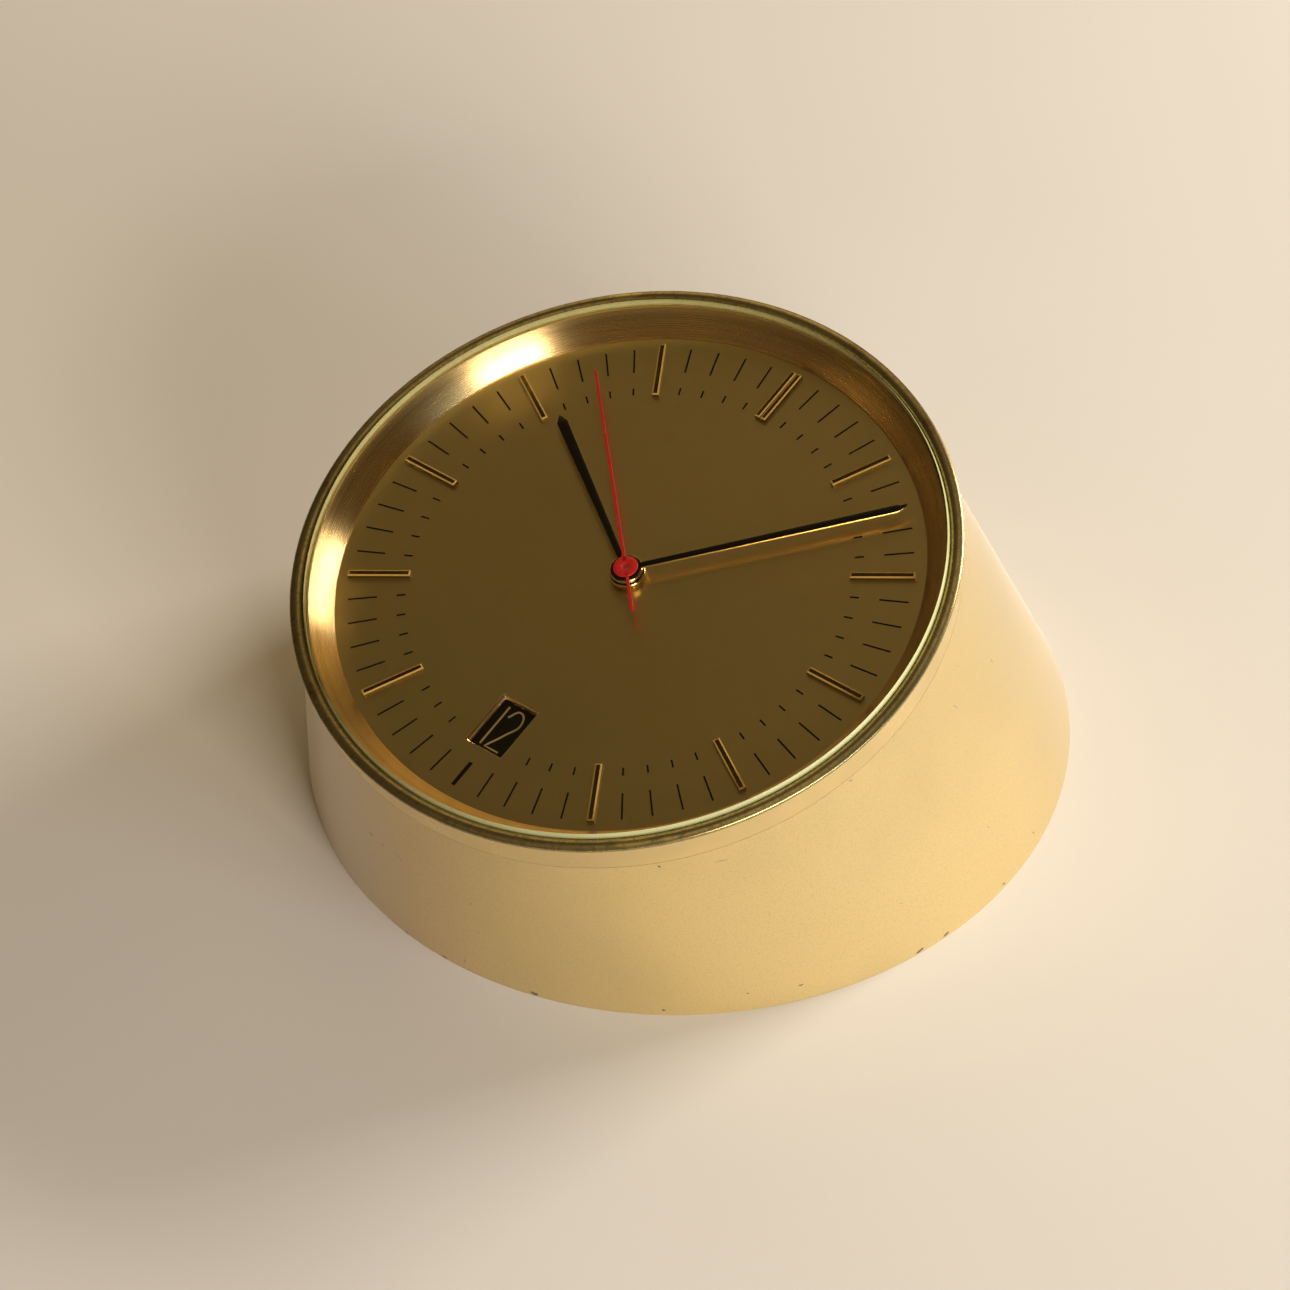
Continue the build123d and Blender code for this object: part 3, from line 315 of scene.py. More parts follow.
def remove(piece):
    bpy.data.objects.remove(piece, do_unlink=True)


def to_object_mode():
    bpy.ops.object.mode_set(mode="OBJECT")


def edit_mode(kind=None, action="DESELECT"):
    """Goes to edit mode, with all or none of the vertices, edges or faces selected if a kind is given."""
    bpy.ops.object.mode_set(mode="EDIT")
    if kind:
        bpy.ops.mesh.select_mode(type=kind)
        bpy.ops.mesh.select_all(action=action)


def select_faces(piece, wanted):
    """Goes to edit mode with only the faces selected that the test wants."""
    make_active(piece)
    edit_mode("FACE")
    to_object_mode()
    for polygon in piece.data.polygons:
        polygon.select = wanted(polygon)
    edit_mode()


def select_top(piece):
    select_faces(piece, lambda face: face.normal.z > UP)


def extrude(step):
    bpy.ops.mesh.extrude_region_move(TRANSFORM_OT_translate={"value": step})


def turn_faces_outwards():
    """Does so for the mesh in edit mode, and leaves edit mode."""
    bpy.ops.mesh.select_all(action="SELECT")
    bpy.ops.mesh.normals_make_consistent(inside=False)
    to_object_mode()


def apply_place(piece, matrix=None):
    """Leaves the piece at the origin, unturned and unscaled, with its place in its mesh."""
    make_active(piece)
    if matrix is not None:
        piece.matrix_world = matrix @ piece.matrix_world
    bpy.ops.object.transform_apply(location=True, rotation=True, scale=True)


def lathe(name, corners, steps=FINE_STEPS):
    """Turns a closed line of (radius, level) corners about the axis."""
    deselect_all()
    first = corners[0]
    bpy.ops.mesh.primitive_plane_add(size=MM, location=(0, 0, 0))
    piece = named(name)
    edit_mode("VERT", "SELECT")
    bpy.ops.mesh.merge(type="CENTER")
    bpy.ops.transform.translate(value=(first[0], 0, first[1]))
    for before, after in zip(corners, [*corners[1:], first]):
        extrude((after[0] - before[0], 0, after[1] - before[1]))
    bpy.ops.mesh.select_all(action="SELECT")
    bpy.ops.mesh.spin(steps=steps, angle=FULL_TURN, center=(0, 0, 0), axis=(0, 0, 1))
    bpy.ops.mesh.select_all(action="SELECT")
    bpy.ops.mesh.remove_doubles(threshold=WELD)
    bpy.ops.mesh.delete_loose()
    turn_faces_outwards()
    return piece


def arc(centre, radius, start, end, steps):
    """Corners of (radius, level) along an arc."""
    angles = [start + (end - start) * step / steps for step in range(steps + 1)]
    return [(centre[0] + radius * cos(angle), centre[1] + radius * sin(angle)) for angle in angles]


def box(name, low, high):
    """A block between two corners."""
    middle = [(a + b) / 2 for a, b in zip(low, high)]
    size = [b - a for a, b in zip(low, high)]
    deselect_all()
    bpy.ops.mesh.primitive_cube_add(size=1, location=middle, scale=size)
    piece = named(name)
    apply_place(piece)
    return piece


def post(name, place, radius, low, high, steps=POST_STEPS):
    """An upright round bar."""
    deselect_all()
    middle = (*place, (low + high) / 2)
    bpy.ops.mesh.primitive_cylinder_add(vertices=steps, radius=radius, depth=high - low, location=middle)
    piece = named(name)
    apply_place(piece)
    return piece


def modify(piece, kind, **settings):
    """Gives the piece a modifier and applies it."""
    make_active(piece)
    change = piece.modifiers.new(kind, kind)
    for key, value in settings.items():
        setattr(change, key, value)
    bpy.ops.object.modifier_apply(modifier=change.name)


def cut(piece, *tools):
    """Cuts the tools from the piece and removes them."""
    for tool in tools:
        modify(piece, "BOOLEAN", operation="DIFFERENCE", object=tool, solver="EXACT")
        remove(tool)


def rounded(piece, width, segments=2, angle=30):
    """Rounds the sharp edges."""
    limit = radians(angle)
    modify(piece, "BEVEL", width=width, segments=segments, limit_method="ANGLE", angle_limit=limit)


def even_shading(piece):
    """Lets the large faces decide the shading, so that no streak shows beside a cut."""
    modify(piece, "WEIGHTED_NORMAL", keep_sharp=True, weight=100)


def smooth(piece, angle=30):
    make_active(piece)
    bpy.ops.object.shade_smooth_by_angle(angle=radians(angle))


def join(name, pieces):
    """Joins pieces into the first of them."""
    deselect_all()
    for piece in pieces:
        piece.select_set(True)
    bpy.context.view_layer.objects.active = pieces[0]
    bpy.ops.object.join()
    return named(name)


def copied(piece, matrix):
    """A copy with its own mesh, placed by a matrix."""
    make_active(piece)
    bpy.ops.object.duplicate(linked=False)
    copy = bpy.context.object
    apply_place(copy, matrix)
    return copy


def joined_copies(name, model, matrices):
    """Copies of a model in one piece; the model itself goes."""
    copies = [copied(model, matrix) for matrix in matrices]
    remove(model)
    return join(name, copies)


def use_materials(piece, *materials):
    piece.data.materials.clear()
    for material in materials:
        piece.data.materials.append(material)


def finish_piece(piece, body, slot, material, *nodes):
    """Gives a finished piece its material, its body and the nodes that it stands for."""
    if material is not None:
        use_materials(piece, material)
    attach(piece, body)
    if nodes:
        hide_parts(*nodes)


def turned_about_dial(angle):
    """Turns clockwise from twelve in the dial's plane."""
    return Matrix.Rotation(-angle, 4, "Z")


# Materials


def feed(tree, socket, value):
    if isinstance(value, bpy.types.NodeSocket):
        tree.links.new(value, socket)
    else:
        socket.default_value = value


def add_node(tree, kind, settings=None, inputs=None):
    """A node with its settings, and with its inputs set or linked."""
    node = tree.nodes.new(kind)
    for key, value in (settings or {}).items():
        setattr(node, key, value)
    for key, value in (inputs or {}).items():
        feed(tree, node.inputs[key], value)
    return node


def tinted(colour, share):
    """A darker or lighter tone of a colour."""
    return [min(1, channel * share) for channel in colour]


class Finish:
    """One node material: a Principled shader and the nodes that feed it."""

    def __init__(self, name, colour, metallic, roughness):
        self.material = bpy.data.materials.new(name)
        self.material.use_nodes = True
        self.tree = self.material.node_tree
        self.shader = self.tree.nodes["Principled BSDF"]
        self.shade("Base Color", (*colour, 1))
        self.shade("Metallic", metallic)
        self.shade("Roughness", roughness)
        self.place = self.add("ShaderNodeTexCoord").outputs["Object"]

    def add(self, kind, settings=None, inputs=None):
        return add_node(self.tree, kind, settings, inputs)

    def shade(self, name, value):
        feed(self.tree, self.shader.inputs[name], value)

    def roughen(self, value, smoothest, roughest, low=0.3, high=0.7):
        self.shade("Roughness", self.ranged(value, low, high, smoothest, roughest))

    def centred(self, vector, centre, turn, size=(1, 1, 1)):
        """Coordinates about a centre, turned with it and divided by a size."""
        inputs = {"Vector": vector, "Location": centre, "Rotation": turn, "Scale": size}
        return self.add("ShaderNodeMapping", {"vector_type": "TEXTURE"}, inputs).outputs["Vector"]

    def on_dial(self):
        """Object coordinates turned into the dial's own frame."""
        return self.centred(self.place, (0, DIAL_Y, DIAL_HEIGHT), (DIAL_TILT, 0, 0))

    def stretched(self, vector, scale, tilt=0.0):
        inputs = {"Vector": vector, "Rotation": (tilt, 0, 0), "Scale": scale}
        return self.add("ShaderNodeMapping", inputs=inputs).outputs["Vector"]

    def vector_math(self, operation, inputs):
        return self.add("ShaderNodeVectorMath", {"operation": operation}, inputs).outputs

    def noise(self, scale, detail=2.0, vector=None, roughness=0.5, output="Fac"):
        place = self.place if vector is None else vector
        inputs = {"Vector": place, "Scale": scale, "Detail": detail, "Roughness": roughness}
        return self.add("ShaderNodeTexNoise", inputs=inputs).outputs[output]

    def rings(self, vector, scale, detail=3.0):
        """Noise along the distance from the vector's own axis, as a lathe leaves it."""
        radius = self.vector_math("LENGTH", {0: self.stretched(vector, (1, 1, 0))})["Value"]
        inputs = {"W": radius, "Scale": scale, "Detail": detail}
        return self.add("ShaderNodeTexNoise", {"noise_dimensions": "1D"}, inputs).outputs["Fac"]

    def ranged(self, value, low, high, to_low=0.0, to_high=1.0):
        inputs = {"Value": value, "From Min": low, "From Max": high, "To Min": to_low, "To Max": to_high}
        return self.add("ShaderNodeMapRange", {"interpolation_type": "SMOOTHSTEP"}, inputs).outputs["Result"]

    def math(self, operation, first, second):
        return self.add("ShaderNodeMath", {"operation": operation}, {0: first, 1: second}).outputs[0]

    def blend(self, share, first, second):
        node = self.add("ShaderNodeMix", {"data_type": "RGBA"}, {"Factor": share})
        colours = [socket for socket in node.inputs if socket.type == "RGBA"]
        for socket, colour in zip(colours, (first, second)):
            linked = isinstance(colour, bpy.types.NodeSocket)
            feed(self.tree, socket, colour if linked else (*colour, 1))
        return [socket for socket in node.outputs if socket.type == "RGBA"][0]

    def bump(self, height, distance, strength=1.0):
        inputs = {"Height": height, "Distance": distance, "Strength": strength}
        self.shade("Normal", self.add("ShaderNodeBump", inputs=inputs).outputs["Normal"])

    def spot(self, vector, centre, size, turn):
        """1 in an oval patch and 0 outside it."""
        length = self.vector_math("LENGTH", {0: self.centred(vector, centre, turn, size)})["Value"]
        return self.ranged(length, 0.75, 1.0, 1.0, 0.0)

    def any_of(self, shares):
        total = shares[0]
        for share in shares[1:]:
            total = self.math("MAXIMUM", total, share)
        return total

    def ragged(self, distance, scale):
        """Object coordinates shaken by noise, so that patches get ragged outlines."""
        noise = self.noise(scale, 3.0, output="Color")
        centred = self.vector_math("SUBTRACT", {0: noise, 1: (0.5, 0.5, 0.5)})[0]
        shaken = self.vector_math("SCALE", {0: centred, "Scale": distance})[0]
        return self.vector_math("ADD", {0: self.place, 1: shaken})[0]


# Chips and scratches in the lacquer: clock angle, drop below the band in mm, length, width, lean in degrees
CHIPS = (
    (194, 12.2, 1.0, 0.5, 60), (191, 12.0, 0.5, 0.3, 60), (187, 11.7, 2.6, 0.16, 55),
    (213, 15.1, 0.4, 0.3, 0), (163, 29.6, 1.5, 0.7, 80), (179, 29.2, 1.1, 0.4, 80),
    (187, 29.5, 0.9, 0.35, 80), (175, 27.7, 0.35, 0.3, 0), (172, 13.1, 0.35, 0.3, 0),
    (143, 31.3, 0.5, 0.4, 70), (130, 31.0, 0.4, 0.25, 90), (122, 33.2, 0.9, 0.35, 90),
    (103, 40.5, 1.6, 0.6, 90), (98, 41.8, 1.3, 0.5, 90), (85, 45.2, 0.9, 0.35, 80),
    (75, 46.0, 0.7, 0.25, 20), (83, 33.2, 0.4, 0.25, 0), (103, 29.1, 0.3, 0.25, 0),
    (64, 15.4, 0.9, 0.2, 10), (73, 4.9, 0.7, 0.14, 10), (78, 9.0, 1.7, 0.12, 20),
    (72, 15.4, 0.4, 0.15, 10), (103, 0.6, 0.8, 0.14, 60), (138, 0.8, 0.45, 0.35, 0),
    (128, 2.6, 2.2, 0.10, 85),
)
CHIP_DEPTH = 0.6 * MM
BARE_METAL = (0.10, 0.065, 0.03)


def lacquer_finish():
    lacquer = bpy.context.scene.clock_case.lacquer
    finish = Finish("gold lacquer", lacquer, 0.35, 0.34)
    cloud = finish.noise(28, 3)
    coat = finish.blend(finish.ranged(cloud, 0.3, 0.7), tinted(lacquer, 0.93), tinted(lacquer, 1.04))
    grain = finish.noise(4200, 2)
    coat = finish.blend(finish.ranged(grain, 0.45, 0.70, 0.0, 0.5), coat, tinted(lacquer, 0.72))
    ragged = finish.ragged(0.5 * MM, 1500)
    spots = []
    for clock_angle, drop, length, width, lean in CHIPS:
        level = BAND_BOTTOM - drop * MM
        angle = radians(clock_angle)
        centre = Vector((flare_radius(level) * sin(angle), flare_radius(level) * cos(angle), level))
        turn = DIAL_FRAME @ turned_about_dial(angle) @ Matrix.Rotation(radians(lean), 4, "Y")
        size = (width * MM / 2, CHIP_DEPTH, length * MM / 2)
        spots.append(finish.spot(ragged, DIAL_FRAME @ centre, size, tuple(turn.to_euler())))
    chipped = finish.any_of(spots)
    finish.shade("Base Color", finish.blend(chipped, coat, BARE_METAL))
    finish.shade("Metallic", finish.ranged(chipped, 0, 1, 0.35, 0.0))
    finish.roughen(cloud, 0.33, 0.39)
    fine = finish.noise(2600, 3)
    height = finish.math("SUBTRACT", finish.math("MULTIPLY", fine, 0.3), chipped)
    finish.bump(height, 0.03 * MM, 0.6)
    finish.shade("Coat Weight", 0.3)
    finish.shade("Coat Roughness", 0.3)
    finish.shade("Sheen Weight", 0.5)
    finish.shade("Sheen Roughness", 0.35)
    finish.shade("Sheen Tint", (1, 0.97, 0.93, 1))
    return finish.material


def band_finish():
    gold = bpy.context.scene.clock_case.band
    finish = Finish("smooth gold band", gold, 0.80, 0.30)
    cloud = finish.noise(60, 3)
    finish.shade("Base Color", finish.blend(finish.ranged(cloud, 0.35, 0.7), gold, tinted(gold, 0.88)))
    lines = finish.noise(1.0, 3, finish.stretched(finish.on_dial(), (40, 40, 9000)))
    finish.roughen(cloud, 0.26, 0.34)
    finish.bump(lines, 0.01 * MM, 0.35)
    return finish.material


# Bare and stained places on the bezel: clock angle, radius in mm, length along the bezel, width
WORN_SPOTS = ((323, 51.3, 6.5, 1.6), (141, 51.3, 6.0, 1.5), (135, 51.5, 3.0, 0.8))
BROWN_SPOTS = ((9, 51.2, 4.0, 1.6), (31, 51.2, 4.5, 1.8), (211, 51.2, 4.0, 1.6), (255, 51.0, 3.0, 1.2))
SPOT_DEPTH = 2 * MM
BROWN_STAIN = (0.20, 0.085, 0.04)
BARE_BRASS = (0.62, 0.50, 0.15)


def bezel_finish():
    case = bpy.context.scene.clock_case
    finish = Finish("worn bezel", case.patina_light, 0.9, 0.27)
    dial = finish.on_dial()
    mottle = finish.noise(1100, 5, roughness=0.65)
    broad = finish.ranged(finish.noise(45, 3), 0.25, 0.6, 0.6, 1.0)
    share = finish.math("MULTIPLY", finish.ranged(mottle, 0.25, 0.6, 0.35), broad)
    tone = finish.blend(share, case.patina_dark, case.patina_light)

    def patches(spots):
        shares = []
        for clock_angle, distance, length, width in spots:
            angle = radians(clock_angle)
            centre = (distance * MM * sin(angle), distance * MM * cos(angle), BAND_TOP + BEZEL_EDGE)
            size = (length * MM / 2, width * MM / 2, SPOT_DEPTH)
            shares.append(finish.spot(dial, centre, size, (0, 0, -angle)))
        return finish.any_of(shares)

    brown = finish.math("MULTIPLY", patches(BROWN_SPOTS), finish.ranged(mottle, 0.35, 0.6))
    worn = finish.math("MULTIPLY", patches(WORN_SPOTS), finish.ranged(mottle, 0.30, 0.55, 0.35, 1.0))
    tone = finish.blend(finish.math("MULTIPLY", brown, 0.6), tone, BROWN_STAIN)
    tone = finish.blend(finish.math("MULTIPLY", worn, 0.8), tone, BARE_BRASS)
    finish.shade("Base Color", tone)
    finish.roughen(mottle, 0.31, 0.23)
    turned = finish.math("MULTIPLY", finish.rings(dial, 9000), 0.5)
    finish.bump(finish.math("ADD", turned, finish.math("MULTIPLY", mottle, 0.6)), 0.01 * MM, 0.3)
    return finish.material


def flange_finish():
    gold = bpy.context.scene.clock_dial.flange
    finish = Finish("satin flange", gold, 1.0, 0.27)
    dial = finish.on_dial()
    lines = finish.rings(dial, 14000, 4)
    broad = finish.rings(dial, 1500, 2)
    finish.shade("Anisotropic", 0.9)
    finish.shade("Tangent", finish.stretched(finish.stretched(dial, (1, 1, 0)), (1, 1, 1), DIAL_TILT))
    finish.shade("Base Color", finish.blend(finish.ranged(broad, 0.35, 0.65), gold, tinted(gold, 0.9)))
    finish.roughen(lines, 0.25, 0.30)
    finish.bump(lines, 0.004 * MM, 0.2)
    return finish.material


def dial_finish():
    """Straight brushed gold with faint clouds and specks of dust."""
    gold = bpy.context.scene.clock_dial.dial
    finish = Finish("brushed dial", gold, 1.0, 0.28)
    strand = finish.noise(1.0, 4, finish.stretched(finish.on_dial(), (22000, 350, 1)), 0.6)
    tone = finish.blend(finish.ranged(strand, 0.35, 0.65), tinted(gold, 0.96), tinted(gold, 1.04))
    cloud = finish.ranged(finish.noise(35, 2), 0.3, 0.7, 0.0, 0.18)
    tone = finish.blend(cloud, tone, tinted(gold, 0.8))
    dust = finish.add("ShaderNodeTexVoronoi", {"feature": "F1"}, {"Vector": finish.place, "Scale": 210.0})
    speck = finish.ranged(dust.outputs["Distance"], 0.012, 0.03, 1.0, 0.0)
    finish.shade("Base Color", finish.blend(finish.math("MULTIPLY", speck, 0.6), tone, (0.75, 0.68, 0.5)))
    finish.roughen(strand, 0.28, 0.33)
    finish.bump(strand, 0.002 * MM, 0.14)
    return finish.material


def polished_finish(name, colour, roughness):
    """Polished metal with fine wipe marks."""
    finish = Finish(name, colour, 1.0, roughness)
    wipe = finish.noise(600, 3)
    finish.roughen(wipe, roughness, roughness + 0.09, 0.35)
    finish.shade("Base Color", finish.blend(finish.ranged(wipe, 0.4, 0.7), colour, tinted(colour, 0.92)))
    return finish.material


def satin_finish(name, colour, metallic, roughness, grain, depth, shine=0.5):
    """Satin metal or paint with a fine grain and faint clouds."""
    finish = Finish(name, colour, metallic, roughness)
    fine = finish.noise(grain, 3)
    cloud = finish.ranged(finish.noise(70, 3), 0.3, 0.7)
    finish.shade("Base Color", finish.blend(cloud, tinted(colour, 0.88), colour))
    finish.roughen(fine, roughness - 0.05, roughness + 0.08)
    finish.bump(fine, depth * MM, 0.4)
    finish.shade("Specular IOR Level", shine)
    return finish.material


def turned_finish(name, colour, roughness, scale=5000):
    """Metal with the fine circular marks of a lathe about the dial's axis."""
    finish = Finish(name, colour, 1.0, roughness)
    lines = finish.rings(finish.on_dial(), scale)
    cloud = finish.ranged(finish.noise(90, 3), 0.35, 0.7)
    finish.shade("Base Color", finish.blend(cloud, colour, tinted(colour, 0.85)))
    finish.roughen(lines, roughness - 0.05, roughness + 0.08)
    finish.bump(lines, 0.01 * MM, 0.35)
    return finish.material


def glass_finish(name, tint, haze):
    """Clear glass as a thin pane: it lets lamps through and mirrors by its angle."""
    material = bpy.data.materials.new(name)
    material.use_nodes = True
    tree = material.node_tree
    tree.nodes.clear()
    facing = add_node(tree, "ShaderNodeLayerWeight", inputs={"Blend": 0.5}).outputs["Facing"]
    steep = add_node(tree, "ShaderNodeMath", {"operation": "POWER"}, {0: facing, 1: 5.0})
    schlick = {0: steep.outputs[0], 1: 0.95, 2: 0.04}
    share = add_node(tree, "ShaderNodeMath", {"operation": "MULTIPLY_ADD"}, schlick)
    clear = add_node(tree, "ShaderNodeBsdfTransparent", inputs={"Color": (*tint, 1)})
    mirror = add_node(tree, "ShaderNodeBsdfGlossy", inputs={"Color": (1, 1, 1, 1), "Roughness": haze})
    mixed = {0: share.outputs[0], 1: clear.outputs["BSDF"], 2: mirror.outputs["BSDF"]}
    mix = add_node(tree, "ShaderNodeMixShader", inputs=mixed)
    add_node(tree, "ShaderNodeOutputMaterial", inputs={"Surface": mix.outputs["Shader"]})
    return material


# Case


def make_body():
    """The lacquered cone with its bosses, cut by the table."""
    above = BAND_BOTTOM + MM
    below = DEEPEST - MM
    hollow = [
        (0, above), (SPIGOT_BORE, above), (SPIGOT_BORE, CAVITY_TOP),
        (flare_radius(CAVITY_TOP) - BODY_WALL, CAVITY_TOP),
        (flare_radius(DEEPEST) - BODY_WALL, below), (0, below),
    ]
    cavity = lathe("cavity", hollow)
    cone = [(0, BAND_BOTTOM), (BAND_RADIUS, BAND_BOTTOM), (flare_radius(DEEPEST), DEEPEST), (0, DEEPEST)]
    body = lathe("body_cone", cone)
    apply_place(cavity, DIAL_FRAME)
    apply_place(body, DIAL_FRAME)
    boss_top = BASE_TOP + BOSS_HEIGHT
    cut(cavity, *[post("boss", place, BOSS_RADIUS, BASE_TOP, boss_top) for place in boss_places()])
    cut(body, cavity)
    reach = 2 * FOOT_BACK
    cut(body, box("table", (-reach, -reach, -reach), (reach, reach, 0)))
    cut(body, *[post("hole", place, SCREW_RADIUS, 0, SCREW_HOLE_TOP) for place in boss_places()])
    rounded(body, bpy.context.scene.clock_case.edge_round, 3)
    smooth(body)
    even_shading(body)
    finish_piece(body, "case", "lacquer", lacquer_finish(), "body_shell")


def make_band():
    bore = DIAL_RADIUS + BAND_GAP
    flange_bore = FLANGE_OUTER + BAND_GAP
    corners = [
        (flange_bore, BAND_TOP), (BAND_RADIUS, BAND_TOP),
        (BAND_RADIUS, BAND_BOTTOM), (SPIGOT_RADIUS, BAND_BOTTOM),
        (SPIGOT_RADIUS, SPIGOT_END), (SEAT_BORE, SPIGOT_END),
        (SEAT_BORE, CARRIER_UNDER), (bore, CARRIER_UNDER),
        (bore, 0), (flange_bore, 0),
    ]
    band = lathe("gold_band", corners)
    rounded(band, 0.12 * MM)
    apply_place(band, DIAL_FRAME)
    smooth(band)
    even_shading(band)
    finish_piece(band, "case", "band_gold", band_finish(), "case_band")


def make_bezel():
    half = (BEZEL_RADIUS - BEZEL_BORE) / 2
    crown_radius = (half**2 + BEZEL_CROWN**2) / (2 * BEZEL_CROWN)
    reach = atan2(half, crown_radius - BEZEL_CROWN)
    middle = ((BEZEL_RADIUS + BEZEL_BORE) / 2, BAND_TOP + BEZEL_EDGE + BEZEL_CROWN - crown_radius)
    crown = arc(middle, crown_radius, pi / 2 - reach, pi / 2 + reach, 12)
    foot_radius = BEZEL_EDGE / 2
    foot = arc((BEZEL_RADIUS - foot_radius, BAND_TOP + foot_radius), foot_radius, -pi / 2, 0, 4)
    bezel = lathe("bezel_ring", [(BEZEL_BORE, BAND_TOP), *foot, *crown])
    rounded(bezel, 0.06 * MM, 2, 40)
    apply_place(bezel, DIAL_FRAME)
    smooth(bezel, 35)
    finish_piece(bezel, "case", "bezel_brass", bezel_finish(), "bezel")


def make_crystal():
    """Clear glass whose ground rim has a material of its own."""
    flat_radius = CRYSTAL_RADIUS - CRYSTAL_BEVEL
    corners = [
        (0, BAND_TOP), (CRYSTAL_RADIUS, BAND_TOP), (CRYSTAL_RADIUS, CRYSTAL_TOP - CRYSTAL_BEVEL_DROP),
        (flat_radius, CRYSTAL_TOP), (0, CRYSTAL_TOP),
    ]
    crystal = lathe("crystal_pane", corners)
    smooth(crystal, 20)
    rim = satin_finish("ground glass rim", (0.60, 0.56, 0.25), 0.0, 0.30, 1500, 0.004)
    use_materials(crystal, glass_finish("clear glass", (0.985, 0.985, 0.97), 0.02), rim)
    rim_inner = flat_radius - 0.2 * MM
    margin = 0.01 * MM
    for polygon in crystal.data.polygons:
        on_rim = Vector(polygon.center[:2]).length > rim_inner
        if on_rim and BAND_TOP + margin < polygon.center.z < CRYSTAL_TOP - margin:
            polygon.material_index = 1
    apply_place(crystal, DIAL_FRAME)
    finish_piece(crystal, "case", "glass", None, "crystal")


# Dial


def make_dial():
    under = -DIAL_THICKNESS
    disc = [(HUB_OPENING, under), (DIAL_RADIUS, under), (DIAL_RADIUS, 0), (HUB_OPENING, 0)]
    plate = lathe("dial_plate", disc)
    half_width = WINDOW_WIDTH / 2
    half_length = WINDOW_LENGTH / 2
    low = (-half_width, -WINDOW_MIDDLE - half_length, -MM)
    high = (half_width, -WINDOW_MIDDLE + half_length, MM)
    cut(plate, box("opening", low, high))
    places = [(side * DIAL_FOOT_PLACE, 0) for side in (-1, 1)]
    feet = [post("foot", place, DIAL_FOOT_RADIUS, DIAL_FOOT_END, under, PIN_STEPS) for place in places]
    plate = join("dial_plate", [plate, *feet])
    apply_place(plate, DIAL_FRAME)
    smooth(plate)
    finish_piece(plate, "case", "dial_gold", dial_finish(), "dial")


def make_flange():
    corners = [
        (DIAL_VIEW_RADIUS, 0), (FLANGE_OUTER, 0), (FLANGE_OUTER, BAND_TOP),
        (FLANGE_TOP_RADIUS, BAND_TOP), (DIAL_VIEW_RADIUS, FLANGE_LIP),
    ]
    flange = lathe("flange_ring", corners)
    rounded(flange, 0.05 * MM)
    apply_place(flange, DIAL_FRAME)
    smooth(flange)
    finish_piece(flange, "case", "flange_gold", flange_finish(), "dial_flange")


def make_window():
    """The polished frame whose sides slope down to the date."""
    width = WINDOW_WIDTH - WINDOW_LAND
    length = WINDOW_LENGTH - WINDOW_LAND
    low = (-width / 2, -WINDOW_MIDDLE - length / 2, -DIAL_THICKNESS)
    high = (width / 2, -WINDOW_MIDDLE + length / 2, 0)
    window = box("window_bevels", low, high)
    select_top(window)
    bpy.ops.mesh.inset(thickness=WINDOW_LAND)
    extrude((0, 0, -DIAL_THICKNESS))
    across = (WINDOW_WIDTH - 2 * WINDOW_BEVEL) / (width - 2 * WINDOW_LAND)
    along = (WINDOW_LENGTH - 2 * WINDOW_BEVEL) / (length - 2 * WINDOW_LAND)
    bpy.ops.transform.resize(value=(across, along, 1), center_override=(0, -WINDOW_MIDDLE, 0))
    bpy.ops.mesh.delete(type="ONLY_FACE")
    to_object_mode()
    select_faces(window, lambda face: face.normal.z < -UP)
    bpy.ops.mesh.delete(type="ONLY_FACE")
    bpy.ops.mesh.select_mode(type="EDGE")
    bpy.ops.mesh.select_all(action="DESELECT")
    bpy.ops.mesh.select_non_manifold()
    bpy.ops.mesh.bridge_edge_loops()
    turn_faces_outwards()
    rounded(window, 0.05 * MM, 2, 20)
    apply_place(window, DIAL_FRAME)
    smooth(window)
    material = polished_finish("polished window frame", (0.95, 0.73, 0.47), 0.10)
    finish_piece(window, "case", "window_gold", material, "date_window_frame")


def make_bar(width, top, facets):
    """A bar that stands at twelve o'clock: its facets take a bright copy of the gold as painted highlights,
    and its polished top a dark copy of the gold as a painted dark reflection.
    """
    low = (-width / 2, MARKER_INNER, 0)
    high = (width / 2, MARKER_INNER + MARKER_LENGTH, MARKER_HEIGHT - MARKER_FACET_DROP)
    bar = box("bar_model", low, high)
    select_top(bar)
    bpy.ops.mesh.inset(thickness=MARKER_FACET, depth=MARKER_FACET_DROP)
    to_object_mode()
    use_materials(bar, top, facets)
    # Facets take the bright copy of the gold (painted highlights), the flat top the dark copy (painted dark
    # reflection)
    for face in bar.data.polygons:
        face.material_index = 1 if 0.3 < face.normal.z < 0.95 else 0
    return bar


def place_bar(model, matrix, place):
    bar = copied(model, DIAL_FRAME @ matrix)
    bar.name = f"hour_bar_{place}"
    finish_piece(bar, "case", "marker_gold", None, f"hour_marker_{place}")


def make_markers():
    sizes = bpy.context.scene.clock_dial
    # Painted light: the tops get a dark copy of the gold as a painted reflection, and the facets a bright
    # copy as painted highlights
    top = polished_finish("bar tops painted dark", sizes.marker_top, 0.1)
    facets = satin_finish("bar facets painted bright", sizes.marker, 0.2, 0.3, 2000, 0.002)
    model = make_bar(sizes.marker_width, top, facets)
    for hour in SINGLE_MARKER_HOURS:
        place_bar(model, turned_about_dial(radians(30 * hour)), hour)
    remove(model)
    model = make_bar(sizes.pair_width, top, facets)
    offset = (sizes.pair_width + sizes.pair_gap) / 2
    for side, word in ((-1, "left"), (1, "right")):
        place_bar(model, Matrix.Translation((side * offset, 0, 0)), f"12_{word}")
    remove(model)


